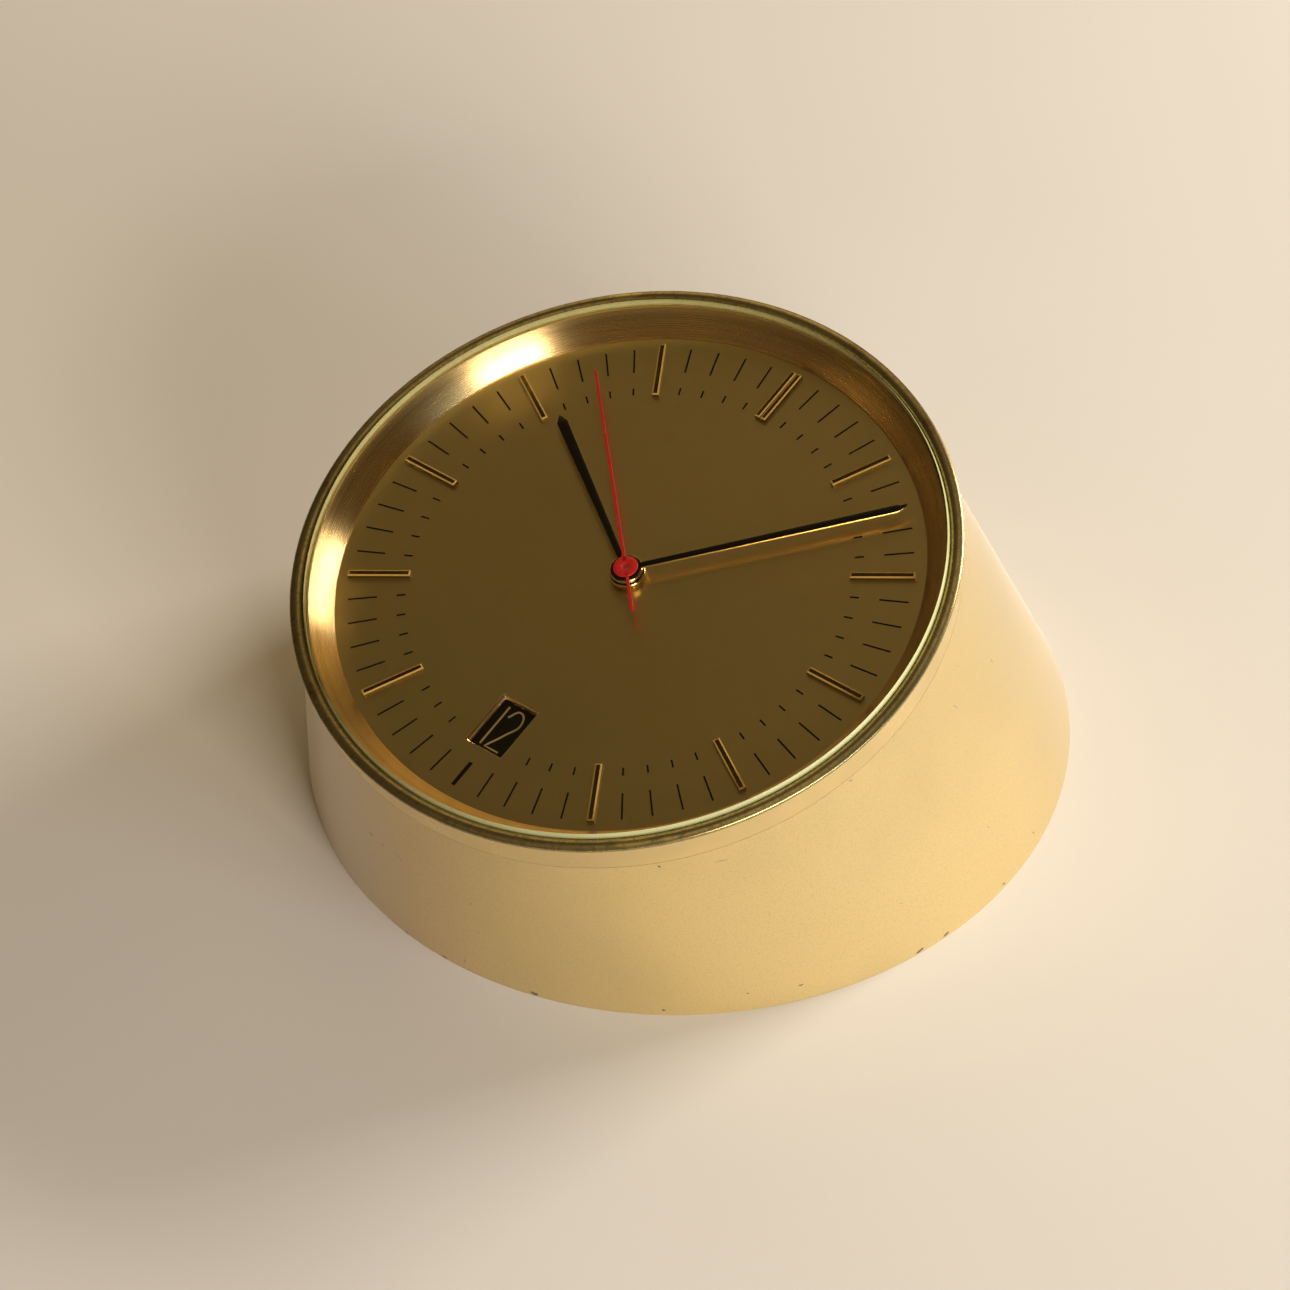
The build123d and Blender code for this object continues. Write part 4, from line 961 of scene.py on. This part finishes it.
def strokes(name, minutes, inner, outer, width):
    """Printed strokes at some minutes, joined in one piece."""
    model = box(f"{name}_model", (-width / 2, inner, 0), (width / 2, outer, PRINT_LIFT))
    select_top(model)
    bpy.ops.mesh.inset(thickness=width / 8)
    bpy.ops.transform.translate(value=(0, 0, PRINT_LIFT / 4))
    to_object_mode()
    matrices = [DIAL_FRAME @ turned_about_dial(radians(6 * minute)) for minute in minutes]
    return joined_copies(name, model, matrices)


def make_strokes():
    width = bpy.context.scene.clock_dial.stroke_width
    ink = satin_finish("black print", (0.0015, 0.001, 0.0005), 0.0, 0.5, 1800, 0.003, 0.1)
    between = [minute for minute in range(60) if minute % 5]
    beside_six = (29, 31)
    short = [minute for minute in between if minute not in beside_six]
    for name, minutes, inner, outer, wide in (
        ("minute_strokes", between, STROKE_INNER, STROKE_OUTER, width),
        ("inner_strokes", short, SHORT_STROKE_INNER, SHORT_STROKE_OUTER, width),
        ("six_bar", [30], STROKE_INNER, STROKE_OUTER, SIX_BAR_WIDTH),
    ):
        finish_piece(strokes(name, minutes, inner, outer, wide), "case", "hand_black", ink)


# Hands


def make_blade(name, level, thickness, start, reach, point, root_width, wide_width):
    """A blade along twelve o'clock that widens or narrows, then comes to a point."""
    deselect_all()
    bpy.ops.mesh.primitive_plane_add(size=1, location=(0, 0.5, 0))
    blade = named(name)
    apply_place(blade)
    edit_mode("VERT")
    to_object_mode()
    for vertex in blade.data.vertices:
        far = vertex.co.y > 0.5
        half = (wide_width if far else root_width) / 2
        vertex.co = (half if vertex.co.x > 0 else -half, reach - point if far else start, level)
        vertex.select = far
    for edge in blade.data.edges:
        edge.select = all(blade.data.vertices[v].co.y > reach / 2 for v in edge.vertices)
    edit_mode()
    extrude((0, point, 0))
    bpy.ops.mesh.merge(type="CENTER")
    bpy.ops.mesh.select_all(action="SELECT")
    extrude((0, 0, thickness))
    turn_faces_outwards()
    return blade


def make_hub(name, level, radius, bore):
    """A turned hub with a chamfered rim."""
    low = level - HUB_DROP
    high = level + HAND_THICKNESS
    corners = [
        (bore, low), (radius - HUB_RIM / 2, low), (radius, low + HUB_RIM / 2),
        (radius, high - HUB_RIM), (radius - HUB_RIM, high), (bore, high),
    ]
    return lathe(name, corners, SMALL_STEPS)


# Hour and minute hands in mm: level, reach, width at the root and near the point, hub, bore
GILT_HANDS = {
    "hour": (1.0, 33.4, 0.95, 1.75, 2.85, 2.07),
    "minute": (1.85, 43.9, 1.0, 1.35, 2.58, 1.59),
}


def make_gilt_hand(kind, angle):
    """A gilt hand with a black lacquered top."""
    name = f"{kind}_pointer"
    level, reach, root_width, wide_width, hub_radius, bore = (size * MM for size in GILT_HANDS[kind])
    blade = make_blade(name, level, HAND_THICKNESS, bore, reach, HAND_POINT, root_width, wide_width)
    select_top(blade)
    bpy.ops.mesh.bevel(offset=HAND_CHAMFER, segments=1, affect="EDGES")
    to_object_mode()
    gilt = polished_finish(f"gilt {name}", (0.90, 0.66, 0.28), 0.09)
    lacquer = Finish(f"black top of {name}", (0.004, 0.003, 0.002), 0.0, 0.16)
    lacquer.shade("Specular IOR Level", 0.25)
    lacquer.roughen(lacquer.noise(900, 3), 0.12, 0.24)
    hub = make_hub(f"{name}_hub", level, hub_radius, bore)
    for piece in (blade, hub):
        use_materials(piece, gilt, lacquer.material)
        for polygon in piece.data.polygons:
            if polygon.normal.z > 0.95:
                polygon.material_index = 1
    hand = join(name, [blade, hub])
    rounded(hand, 0.02 * MM, 1, 40)
    apply_place(hand, DIAL_FRAME @ turned_about_dial(angle))
    smooth(hand, 25)
    finish_piece(hand, f"{kind}_works", "hand_black", None, f"{kind}_hand")


def make_seconds_hand():
    """The red hand: a dimpled disc, a long thin blade and a short tail."""
    hands = bpy.context.scene.clock_hands
    low = SECOND_LEVEL
    high = SECOND_LEVEL + SECOND_THICKNESS
    rim = SECOND_DISC - SECOND_EDGE
    dimple = 0.1 * MM
    dimple_radius = 0.6 * MM
    corners = [
        (SECOND_BORE, low), (rim, low), (SECOND_DISC, low + SECOND_EDGE),
        (SECOND_DISC, high - SECOND_EDGE), (rim, high),
        (dimple_radius, high), (dimple_radius - dimple, high - dimple),
        (SECOND_BORE, high - 1.4 * dimple),
    ]
    disc = lathe("seconds_disc", corners, SMALL_STEPS)
    blade = make_blade(
        "seconds_blade", low, SECOND_THICKNESS, MM,
        reach=39.0 * MM, point=0.3 * MM, root_width=0.56 * MM, wide_width=0.42 * MM,
    )
    tail = make_blade(
        "seconds_tail", low, SECOND_THICKNESS, MM,
        reach=8.5 * MM, point=0.25 * MM, root_width=0.42 * MM, wide_width=0.58 * MM,
    )
    apply_place(tail, Matrix.Rotation(pi, 4, "Z"))
    hand = join("seconds_pointer", [disc, blade, tail])
    rounded(hand, 0.03 * MM, 1, 40)
    apply_place(hand, DIAL_FRAME @ turned_about_dial(hands.second_angle))
    smooth(hand, 25)
    paint = satin_finish("red paint", hands.red, 0.0, 0.30, 1600, 0.004)
    finish_piece(hand, "seconds_works", "hand_red", paint, "seconds_hand")


# Calendar: each figure is drawn in a box one wide and one high. "O" is a closed round stroke. The letters
# of any other stroke stand for its points: R lies on a curve, and S ends a straight run.
FIGURES = {
    "0": (("O", (0.5, 1), (1, 0.5), (0.5, 0), (0, 0.5)),),
    "1": (("SS", (0.5, 0), (0.5, 1)),),
    "2": (("RRRRSS", (0, 0.78), (0.48, 1), (1, 0.77), (0.62, 0.42), (0, 0), (1, 0)),),
    "3": (("RRRSRRR", (0, 0.86), (0.5, 1), (0.95, 0.77), (0.4, 0.55), (1, 0.27), (0.5, 0), (0, 0.14)),),
    "4": (("SSSS", (0.78, 0), (0.78, 1), (0, 0.28), (1, 0.28)),),
    "5": (("SSSRRR", (0.92, 1), (0.12, 1), (0.05, 0.56), (1, 0.34), (0.5, 0), (0, 0.12)),),
    "6": (("RRRRRRR", (0.85, 1), (0.15, 0.6), (0.03, 0.26), (0.5, 0), (1, 0.28), (0.5, 0.56), (0.08, 0.4)),),
    "7": (("SSS", (0, 1), (1, 1), (0.35, 0)),),
    "8": (
        ("O", (0.5, 1), (0.92, 0.78), (0.5, 0.55), (0.08, 0.78)),
        ("O", (0.5, 0.55), (1, 0.27), (0.5, 0), (0, 0.27)),
    ),
    "9": (("RRRRRRR", (0.15, 0), (0.85, 0.4), (0.97, 0.74), (0.5, 1), (0, 0.72), (0.5, 0.44), (0.92, 0.6)),),
}


def make_figure(digit, width):
    """One figure drawn with a round pen, flattened to a print."""
    curve = bpy.data.curves.new(f"figure_{digit}", "CURVE")
    curve.dimensions = "3D"
    curve.bevel_depth = FIGURE_STROKE
    curve.bevel_resolution = 0
    curve.resolution_u = 6
    curve.use_fill_caps = True
    for kinds, *places in FIGURES[digit]:
        spline = curve.splines.new("BEZIER")
        spline.bezier_points.add(len(places) - 1)
        spline.use_cyclic_u = kinds == "O"
        letters = "R" * len(places) if kinds == "O" else kinds
        for point, letter, (across, up) in zip(spline.bezier_points, letters, places):
            point.co = ((across - 0.5) * width, (up - 0.5) * FIGURE_HEIGHT, 0)
            point.handle_left_type = point.handle_right_type = "VECTOR" if letter == "S" else "AUTO"
    figure = bpy.data.objects.new(f"figure_{digit}", curve)
    bpy.context.scene.collection.objects.link(figure)
    make_active(figure)
    bpy.ops.object.convert(target="MESH")
    figure = bpy.context.object
    figure.scale = (1, 1, FIGURE_FLATNESS)
    apply_place(figure)
    return figure


def make_date_figures():
    figures = {}
    marks = []
    for day in range(1, DAYS + 1):
        digits = str(day)
        paired = len(digits) == 2 and "1" not in digits
        full = PAIRED_FIGURE_WIDTH if paired else FIGURE_WIDTH
        widths = [0 if digit == "1" else full for digit in digits]
        left = -(sum(widths) + FIGURE_GAP * (len(digits) - 1)) / 2
        turn = pi - FULL_TURN * (SHOWN_DAY - day) / DAYS
        for digit, width in zip(digits, widths):
            key = (digit, full)
            if key not in figures:
                figures[key] = make_figure(digit, full)
            across = Matrix.Translation((left + width / 2, -WINDOW_MIDDLE, DATE_RING_TOP + FIGURE_LIFT))
            upright = turned_about_dial(turn) @ Matrix.Rotation(pi, 4, "Z") @ across
            marks.append(copied(figures[key], DIAL_FRAME @ upright))
            left += width + FIGURE_GAP
    for figure in figures.values():
        remove(figure)
    prints = join("date_figures", marks)
    smooth(prints, 40)
    ink = satin_finish("date print", bpy.context.scene.clock_hands.figure, 0.6, 0.40, 1500, 0.003)
    finish_piece(prints, "date_works", "date_black", ink)


# Base, battery, knob and screws


def make_screw(name, corners, slot_width, slot_depth):
    """A turned screw with a driver's slot in its lower face."""
    screw = lathe(name, corners, SCREW_STEPS)
    reach = 2 * max(radius for radius, level in corners)
    low = min(level for radius, level in corners)
    cut(screw, box("slot", (-reach, -slot_width / 2, low - MM), (reach, slot_width / 2, low + slot_depth)))
    rounded(screw, 0.04 * MM, 1, 50)
    smooth(screw)
    return screw


def make_base_screws():
    """Four countersunk screws with threads in the body's bosses."""
    crest = SCREW_RADIUS - 0.05 * MM
    root = SCREW_RADIUS - 0.28 * MM
    head = SCREW_HEAD_RADIUS
    head_edge = BASE_RECESS + 0.08 * MM
    thread = []
    level = BASE_TOP + THREAD_PITCH
    while level < BASE_SCREW_TOP - THREAD_PITCH:
        thread += [(root, level), (crest, level + THREAD_PITCH / 2)]
        level += THREAD_PITCH
    corners = [
        (0, BASE_RECESS), (head - 0.05 * MM, BASE_RECESS),
        (head, head_edge), (crest, head_edge + head - crest),
        *thread, (root, BASE_SCREW_TOP - 0.3 * MM), (root / 2, BASE_SCREW_TOP), (0, BASE_SCREW_TOP),
    ]
    model = make_screw("base_screw", corners, 0.7 * MM, 0.7 * MM)
    matrices = []
    for place, turn in zip(boss_places(), BASE_SCREW_TURNS):
        matrices.append(Matrix.Translation((*place, 0)) @ Matrix.Rotation(radians(turn), 4, "Z"))
    screws = joined_copies("slotted_base_screws", model, matrices)
    material = satin_finish("zinc plated screws", (0.62, 0.61, 0.57), 1.0, 0.24, 1200, 0.004)
    finish_piece(screws, "case", "steel", material, "base_screws")


def make_plate_screws():
    """Slotted cheese-head screws of the movement's two plates."""
    chamfer = 0.12 * MM
    shank = [(PLATE_SCREW_RADIUS, PLATE_UNDER), (PLATE_SCREW_RADIUS, CARRIER_UNDER), (0, CARRIER_UNDER)]
    groups = []
    for under, inner_corners, first in ((PLATE_UNDER, shank, 30), (REAR_UNDER, [(0, REAR_UNDER)], 90)):
        low = under - PLATE_SCREW_HEIGHT
        head = [(0, low), (PLATE_SCREW_HEAD - chamfer, low), (PLATE_SCREW_HEAD, low + chamfer)]
        corners = [*head, (PLATE_SCREW_HEAD, under), *inner_corners]
        model = make_screw("plate_screw", corners, 0.45 * MM, 0.4 * MM)
        matrices = []
        for step in range(3):
            angle = radians(first + 120 * step)
            place = Matrix.Translation((PILLAR_RING * cos(angle), PILLAR_RING * sin(angle), 0))
            matrices.append(DIAL_FRAME @ place @ Matrix.Rotation(angle * 1.7, 4, "Z"))
        groups.append(joined_copies("plate_screw_group", model, matrices))
    screws = join("slotted_plate_screws", groups)
    material = satin_finish("blued screws", (0.20, 0.24, 0.34), 1.0, 0.22, 1200, 0.003)
    finish_piece(screws, "case", "steel", material, "plate_screws")


def make_knob():
    """The setting knob: fluted, with a dished lower face."""
    high = KNOB_LOW + KNOB_HEIGHT
    rim = KNOB_RADIUS - KNOB_EDGE
    dish_radius = KNOB_RADIUS - 2 * MM
    dish_level = KNOB_LOW + KNOB_DISH
    bore_end = KNOB_LOW + 2 * KNOB_DISH
    corners = [
        (0, dish_level), (dish_radius, dish_level), (dish_radius + KNOB_DISH, KNOB_LOW),
        (rim, KNOB_LOW), (KNOB_RADIUS, KNOB_LOW + KNOB_EDGE), (KNOB_RADIUS, high - KNOB_EDGE),
        (rim, high), (KNOB_BORE, high), (KNOB_BORE, bore_end), (0, bore_end),
    ]
    knob = lathe("fluted_knob", corners, SMALL_STEPS)
    model = post("flute", (FLUTE_PLACE, 0), FLUTE_RADIUS, KNOB_LOW - MM, high + MM, PIN_STEPS)
    turns = [Matrix.Rotation(FULL_TURN * step / KNOB_FLUTES, 4, "Z") for step in range(KNOB_FLUTES)]
    cut(knob, joined_copies("flutes", model, turns))
    rounded(knob, 0.1 * MM, 2, 40)
    apply_place(knob, DIAL_FRAME @ Matrix.Translation((*KNOB_PLACE, 0)))
    smooth(knob)
    material = turned_finish("knob brass", (0.74, 0.58, 0.30), 0.28)
    finish_piece(knob, "setting_works", "knob_brass", material, "setting_knob")


def make_cell():
    """The round cell: steel ends, a dark sleeve and a copper-coloured band."""
    low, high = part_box("battery_cell")
    middle = (0, (low.y + high.y) / 2, (low.z + high.z) / 2)
    band = CELL_END / 2
    recess = -CELL_END + 0.15 * MM
    groove = CELL_SHOULDER - CELL_GROOVE
    button = CELL_BUTTON_RADIUS
    corners = [
        (0, recess), (4.8 * MM, recess), (5.2 * MM, -CELL_END), (CELL_END_RADIUS, -CELL_END),
        (CELL_RADIUS, -CELL_END + 0.5 * MM), (CELL_RADIUS, band), (CELL_RADIUS, CELL_SHOULDER - 0.5 * MM),
        (CELL_END_RADIUS, CELL_SHOULDER), (5.6 * MM, CELL_SHOULDER), (5.4 * MM, groove),
        (3.2 * MM, groove), (3.0 * MM, CELL_SHOULDER), (button, CELL_SHOULDER + 0.1 * MM),
        (button, CELL_END - 0.2 * MM), (button - 0.2 * MM, CELL_END), (0, CELL_END),
    ]
    cell = lathe("sleeved_cell", corners, SMALL_STEPS)
    smooth(cell)
    sleeve = satin_finish("cell sleeve", (0.05, 0.055, 0.065), 0.2, 0.28, 500, 0.004)
    copper = satin_finish("cell band", (0.72, 0.40, 0.16), 0.8, 0.28, 500, 0.004)
    ends = satin_finish("cell ends", (0.66, 0.65, 0.62), 1.0, 0.25, 900, 0.004)
    use_materials(cell, sleeve, copper, ends)
    for polygon in cell.data.polygons:
        on_sleeve = Vector(polygon.center[:2]).length > CELL_RADIUS - 0.3 * MM
        polygon.material_index = (1 if polygon.center.z > band else 0) if on_sleeve else 2
    apply_place(cell, Matrix.Translation(middle) @ Matrix.Rotation(pi / 2, 4, "Y"))
    finish_piece(cell, "case", "cell_wrap", None, "battery_cell")


def make_lid_grip(plastic):
    """Ribs on the battery lid, where a thumb lifts it."""
    lid_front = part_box("battery_lid")[0].y
    ribs = []
    for row in range(RIB_COUNT):
        rib_y = lid_front + RIB_INSET + row * RIB_PITCH
        low = (-RIB_LENGTH / 2, rib_y, BASE_RECESS - 0.35 * MM)
        rib = box("rib", low, (RIB_LENGTH / 2, rib_y + RIB_WIDTH, BASE_RECESS + 0.2 * MM))
        rounded(rib, 0.15 * MM, 3)
        ribs.append(rib)
    grip = join("lid_grip", ribs)
    smooth(grip)
    finish_piece(grip, "lid_works", "black_plastic", plastic)


# Solids that are kept, but with their edges rounded, and the rounding in mm
SOFTENED = {
    "base_plate": 0.15, "battery_lid": 0.2, "battery_bay": 0.3, "front_plate": 0.15, "rear_plate": 0.15,
    "balance_bridge": 0.15, "coil_bracket": 0.08, "drive_coil": 0.2, "regulator": 0.08,
    "circuit_board": 0.08, "board_components": 0.25, "calendar_carrier": 0.1, "plate_pillars": 0.08,
}


def soften_nodes(finishes):
    slots = {row["node"]: row["material_slot"] for row in frame["record"]["subparts"]}
    bodies = frame["record"]["behaviour"]["bodies"]
    for node, width in SOFTENED.items():
        piece = bpy.data.objects.new(f"{node}_rounded", frame["nodes"][node].data.copy())
        bpy.context.scene.collection.objects.link(piece)
        make_active(piece)
        edit_mode("VERT", "SELECT")
        bpy.ops.mesh.customdata_custom_splitnormals_clear()
        bpy.ops.mesh.remove_doubles(threshold=WELD)
        bpy.ops.mesh.dissolve_limited(angle_limit=radians(0.5))
        to_object_mode()
        rounded(piece, width * MM, 2, 40)
        smooth(piece)
        body = next(body for body, nodes in bodies.items() if node in nodes)
        finish_piece(piece, body, slots[node], finishes[slots[node]], node)


# Finishes of the inner and lower solids, by material slot
NODE_FINISHES = {
    "date_black": (satin_finish, "date ring black", (0.002, 0.002, 0.0015), 0.0, 0.5, 1500, 0.004, 0.1),
    "plate_brass": (turned_finish, "movement plates", (0.72, 0.56, 0.30), 0.32),
    "gear_brass": (turned_finish, "gear brass", (0.78, 0.60, 0.28), 0.28, 7000),
    "steel": (satin_finish, "bright steel", (0.58, 0.58, 0.58), 1.0, 0.25, 1200, 0.004),
    "copper": (turned_finish, "coil winding", (0.75, 0.33, 0.15), 0.30, 9000),
    "board_green": (satin_finish, "resin board", (0.42, 0.26, 0.10), 0.0, 0.45, 700, 0.01),
    "component_black": (satin_finish, "component cases", (0.03, 0.03, 0.035), 0.0, 0.30, 900, 0.006),
    "base_grey": (satin_finish, "base plate paint", (0.30, 0.29, 0.26), 0.3, 0.42, 900, 0.02),
    "black_plastic": (satin_finish, "moulded black plastic", (0.035, 0.035, 0.035), 0.0, 0.5, 700, 0.03),
    "contact_steel": (satin_finish, "contact strip", (0.70, 0.69, 0.66), 1.0, 0.22, 900, 0.004),
}


def dress_nodes(finishes):
    """Gives the solids that still show their finishes."""
    for row in frame["record"]["subparts"]:
        node = frame["nodes"][row["node"]]
        if node.hide_render:
            continue
        material = finishes[row["material_slot"]]
        if not node.material_slots:
            node.data.materials.append(material)
        for holder in node.material_slots:
            holder.material = material


# Stage


def make_floor():
    deselect_all()
    bpy.ops.mesh.primitive_plane_add(size=4, location=(0, 0, -0.02 * MM))
    floor = named("floor")
    apply_place(floor)
    colour = bpy.context.scene.clock_stage.floor
    paper = Finish("pale paper", colour, 0.0, 0.85)
    cloud = paper.ranged(paper.noise(9, 2), 0.3, 0.7)
    paper.shade("Base Color", paper.blend(cloud, colour, tinted(colour, 0.975)))
    paper.bump(paper.noise(900, 4), 0.05 * MM, 0.25)
    paper.shade("Specular IOR Level", 0.2)
    use_materials(floor, paper.material)


def direction(azimuth, elevation):
    """The unit vector at an azimuth from +X and an elevation, in degrees."""
    flat = cos(radians(elevation))
    return Vector((flat * cos(radians(azimuth)), flat * sin(radians(azimuth)), sin(radians(elevation))))


def make_lamp(name, azimuth, elevation, distance, width, height, power, colour):
    """A soft rectangular lamp that looks at the clock."""
    aim = Vector((0, 0, 0.02))
    away = direction(azimuth, elevation)
    deselect_all()
    bpy.ops.object.light_add(type="AREA", location=aim + away * distance)
    lamp = bpy.context.object
    lamp.name = name
    lamp.rotation_euler = away.to_track_quat("Z", "Y").to_euler()
    lamp.data.shape = "RECTANGLE"
    lamp.data.size = width
    lamp.data.size_y = height
    lamp.data.energy = power
    lamp.data.color = colour


# Soft bright parts of the room: azimuth from +X, elevation, inner and outer reach in degrees, colour
ROOM_GLOWS = (
    (-95, 48, 5, 30, (0.16, 0.12, 0.07)),
    (95, 72, 4, 20, (0.50, 0.40, 0.26)),
    (132, 31, 8, 30, (0.80, 0.59, 0.31)),
    (-50, 73, 6, 24, (0.60, 0.49, 0.32)),
    (84, 16, 2, 18, (2.0, 1.36, 0.52)),
)
ROOM_DARK = (0.055, 0.038, 0.016)


def make_world():
    scene = bpy.context.scene
    if scene.world is None:
        scene.world = bpy.data.worlds.new("room")
    scene.world.use_nodes = True
    tree = scene.world.node_tree
    tree.nodes.clear()
    place = add_node(tree, "ShaderNodeTexCoord").outputs["Generated"]
    total = add_node(tree, "ShaderNodeRGB").outputs[0]
    total.default_value = (*ROOM_DARK, 1)
    for azimuth, elevation, inner, outer, colour in ROOM_GLOWS:
        inputs = {0: place, 1: direction(azimuth, elevation)}
        nearness = add_node(tree, "ShaderNodeVectorMath", {"operation": "DOT_PRODUCT"}, inputs)
        reach = {"From Min": cos(radians(outer)), "From Max": cos(radians(inner))}
        reach["Value"] = nearness.outputs["Value"]
        share = add_node(tree, "ShaderNodeMapRange", {"interpolation_type": "SMOOTHSTEP"}, reach)
        inputs = {0: share.outputs["Result"], 1: colour, 2: total}
        lit = add_node(tree, "ShaderNodeVectorMath", {"operation": "MULTIPLY_ADD"}, inputs)
        total = lit.outputs["Vector"]
    room = add_node(tree, "ShaderNodeBackground", inputs={"Color": total})
    add_node(tree, "ShaderNodeOutputWorld", inputs={"Surface": room.outputs["Background"]})


def make_camera():
    deselect_all()
    bpy.ops.object.camera_add(
        location=(0.31534079, -0.39957044, 0.50708343),
        rotation=(radians(46.25340518), radians(0.74167679), radians(38.22844471)),
    )
    camera = bpy.context.object
    camera.name = "photograph"
    camera.data.lens = 124.0739
    camera.data.sensor_width = 36
    camera.data.clip_start = 0.01
    bpy.context.scene.camera = camera


class MakeStage(bpy.types.Operator):
    """Make the floor, the lamps, the room's light and the camera"""

    bl_idname = "clock.make_stage"
    bl_label = "Stage"

    def execute(self, context):
        stage = context.scene.clock_stage
        make_camera()
        make_floor()
        make_lamp("key_lamp", 67, 24, 0.9, 0.38, 0.2, stage.key_power, (1.0, 0.95, 0.89))
        make_lamp("fill_lamp", -29, 23, 1.2, 0.46, 0.26, stage.fill_power, (1.0, 0.92, 0.86))
        make_lamp("side_lamp", -1, 5, 1.2, 0.5, 0.16, stage.side_power, (0.66, 0.82, 1.0))
        make_world()
        context.scene.view_settings.view_transform = "Standard"
        return {"FINISHED"}


class MakeCase(bpy.types.Operator):
    """Make the lacquered cone, the gold band and the bezel"""

    bl_idname = "clock.make_case"
    bl_label = "Case"

    def execute(self, context):
        make_body()
        make_band()
        make_bezel()
        return {"FINISHED"}


class MakeGlass(bpy.types.Operator):
    """Make the flat glass with its bevelled rim"""

    bl_idname = "clock.make_glass"
    bl_label = "Glass"

    def execute(self, context):
        make_crystal()
        return {"FINISHED"}


class MakeDial(bpy.types.Operator):
    """Make the dial, its flange, the date window, the hour bars and the printed strokes"""

    bl_idname = "clock.make_dial"
    bl_label = "Dial"

    def execute(self, context):
        make_dial()
        make_flange()
        make_window()
        make_markers()
        make_strokes()
        return {"FINISHED"}


class MakeHands(bpy.types.Operator):
    """Make the hour, minute and seconds hands"""

    bl_idname = "clock.make_hands"
    bl_label = "Hands"

    def execute(self, context):
        hands = context.scene.clock_hands
        make_gilt_hand("hour", hands.hour_angle)
        make_gilt_hand("minute", hands.minute_angle)
        make_seconds_hand()
        return {"FINISHED"}


class MakeCalendar(bpy.types.Operator):
    """Print the thirty-one dates on the date ring"""

    bl_idname = "clock.make_calendar"
    bl_label = "Calendar"

    def execute(self, context):
        make_date_figures()
        return {"FINISHED"}


class DressWorks(bpy.types.Operator):
    """Give the movement, the base and the battery bay their forms and finishes"""

    bl_idname = "clock.dress_works"
    bl_label = "Works and base"

    def execute(self, context):
        finishes = {slot: make(*values) for slot, (make, *values) in NODE_FINISHES.items()}
        make_base_screws()
        make_plate_screws()
        make_knob()
        make_cell()
        make_lid_grip(finishes["black_plastic"])
        soften_nodes(finishes)
        dress_nodes(finishes)
        return {"FINISHED"}


STEPS = (MakeStage, MakeCase, MakeGlass, MakeDial, MakeHands, MakeCalendar, DressWorks)
SETTINGS = (
    ("clock_case", CaseSettings),
    ("clock_dial", DialSettings),
    ("clock_hands", HandSettings),
    ("clock_stage", StageSettings),
)


class ClockPanel(bpy.types.Panel):
    """Lists the clock's steps and settings"""

    bl_idname = "VIEW3D_PT_slanted_clock"
    bl_label = "Table clock"
    bl_space_type = "VIEW_3D"
    bl_region_type = "UI"
    bl_category = "Clock"

    def draw(self, context):
        for step in STEPS:
            self.layout.operator(step.bl_idname)
        for name, kind in SETTINGS:
            for setting in kind.__annotations__:
                self.layout.prop(getattr(context.scene, name), setting)


def register():
    for name, kind in SETTINGS:
        bpy.utils.register_class(kind)
        setattr(bpy.types.Scene, name, bpy.props.PointerProperty(type=kind))
    for kind in (*STEPS, ClockPanel):
        bpy.utils.register_class(kind)


def unregister():
    for kind in reversed((*STEPS, ClockPanel)):
        bpy.utils.unregister_class(kind)
    for name, kind in reversed(SETTINGS):
        delattr(bpy.types.Scene, name)
        bpy.utils.unregister_class(kind)


def main():
    register()
    bpy.ops.clock.make_stage()
    bpy.ops.clock.make_case()
    bpy.ops.clock.make_glass()
    bpy.ops.clock.make_dial()
    bpy.ops.clock.make_hands()
    bpy.ops.clock.make_calendar()
    bpy.ops.clock.dress_works()


if __name__ == "__main__":
    main()
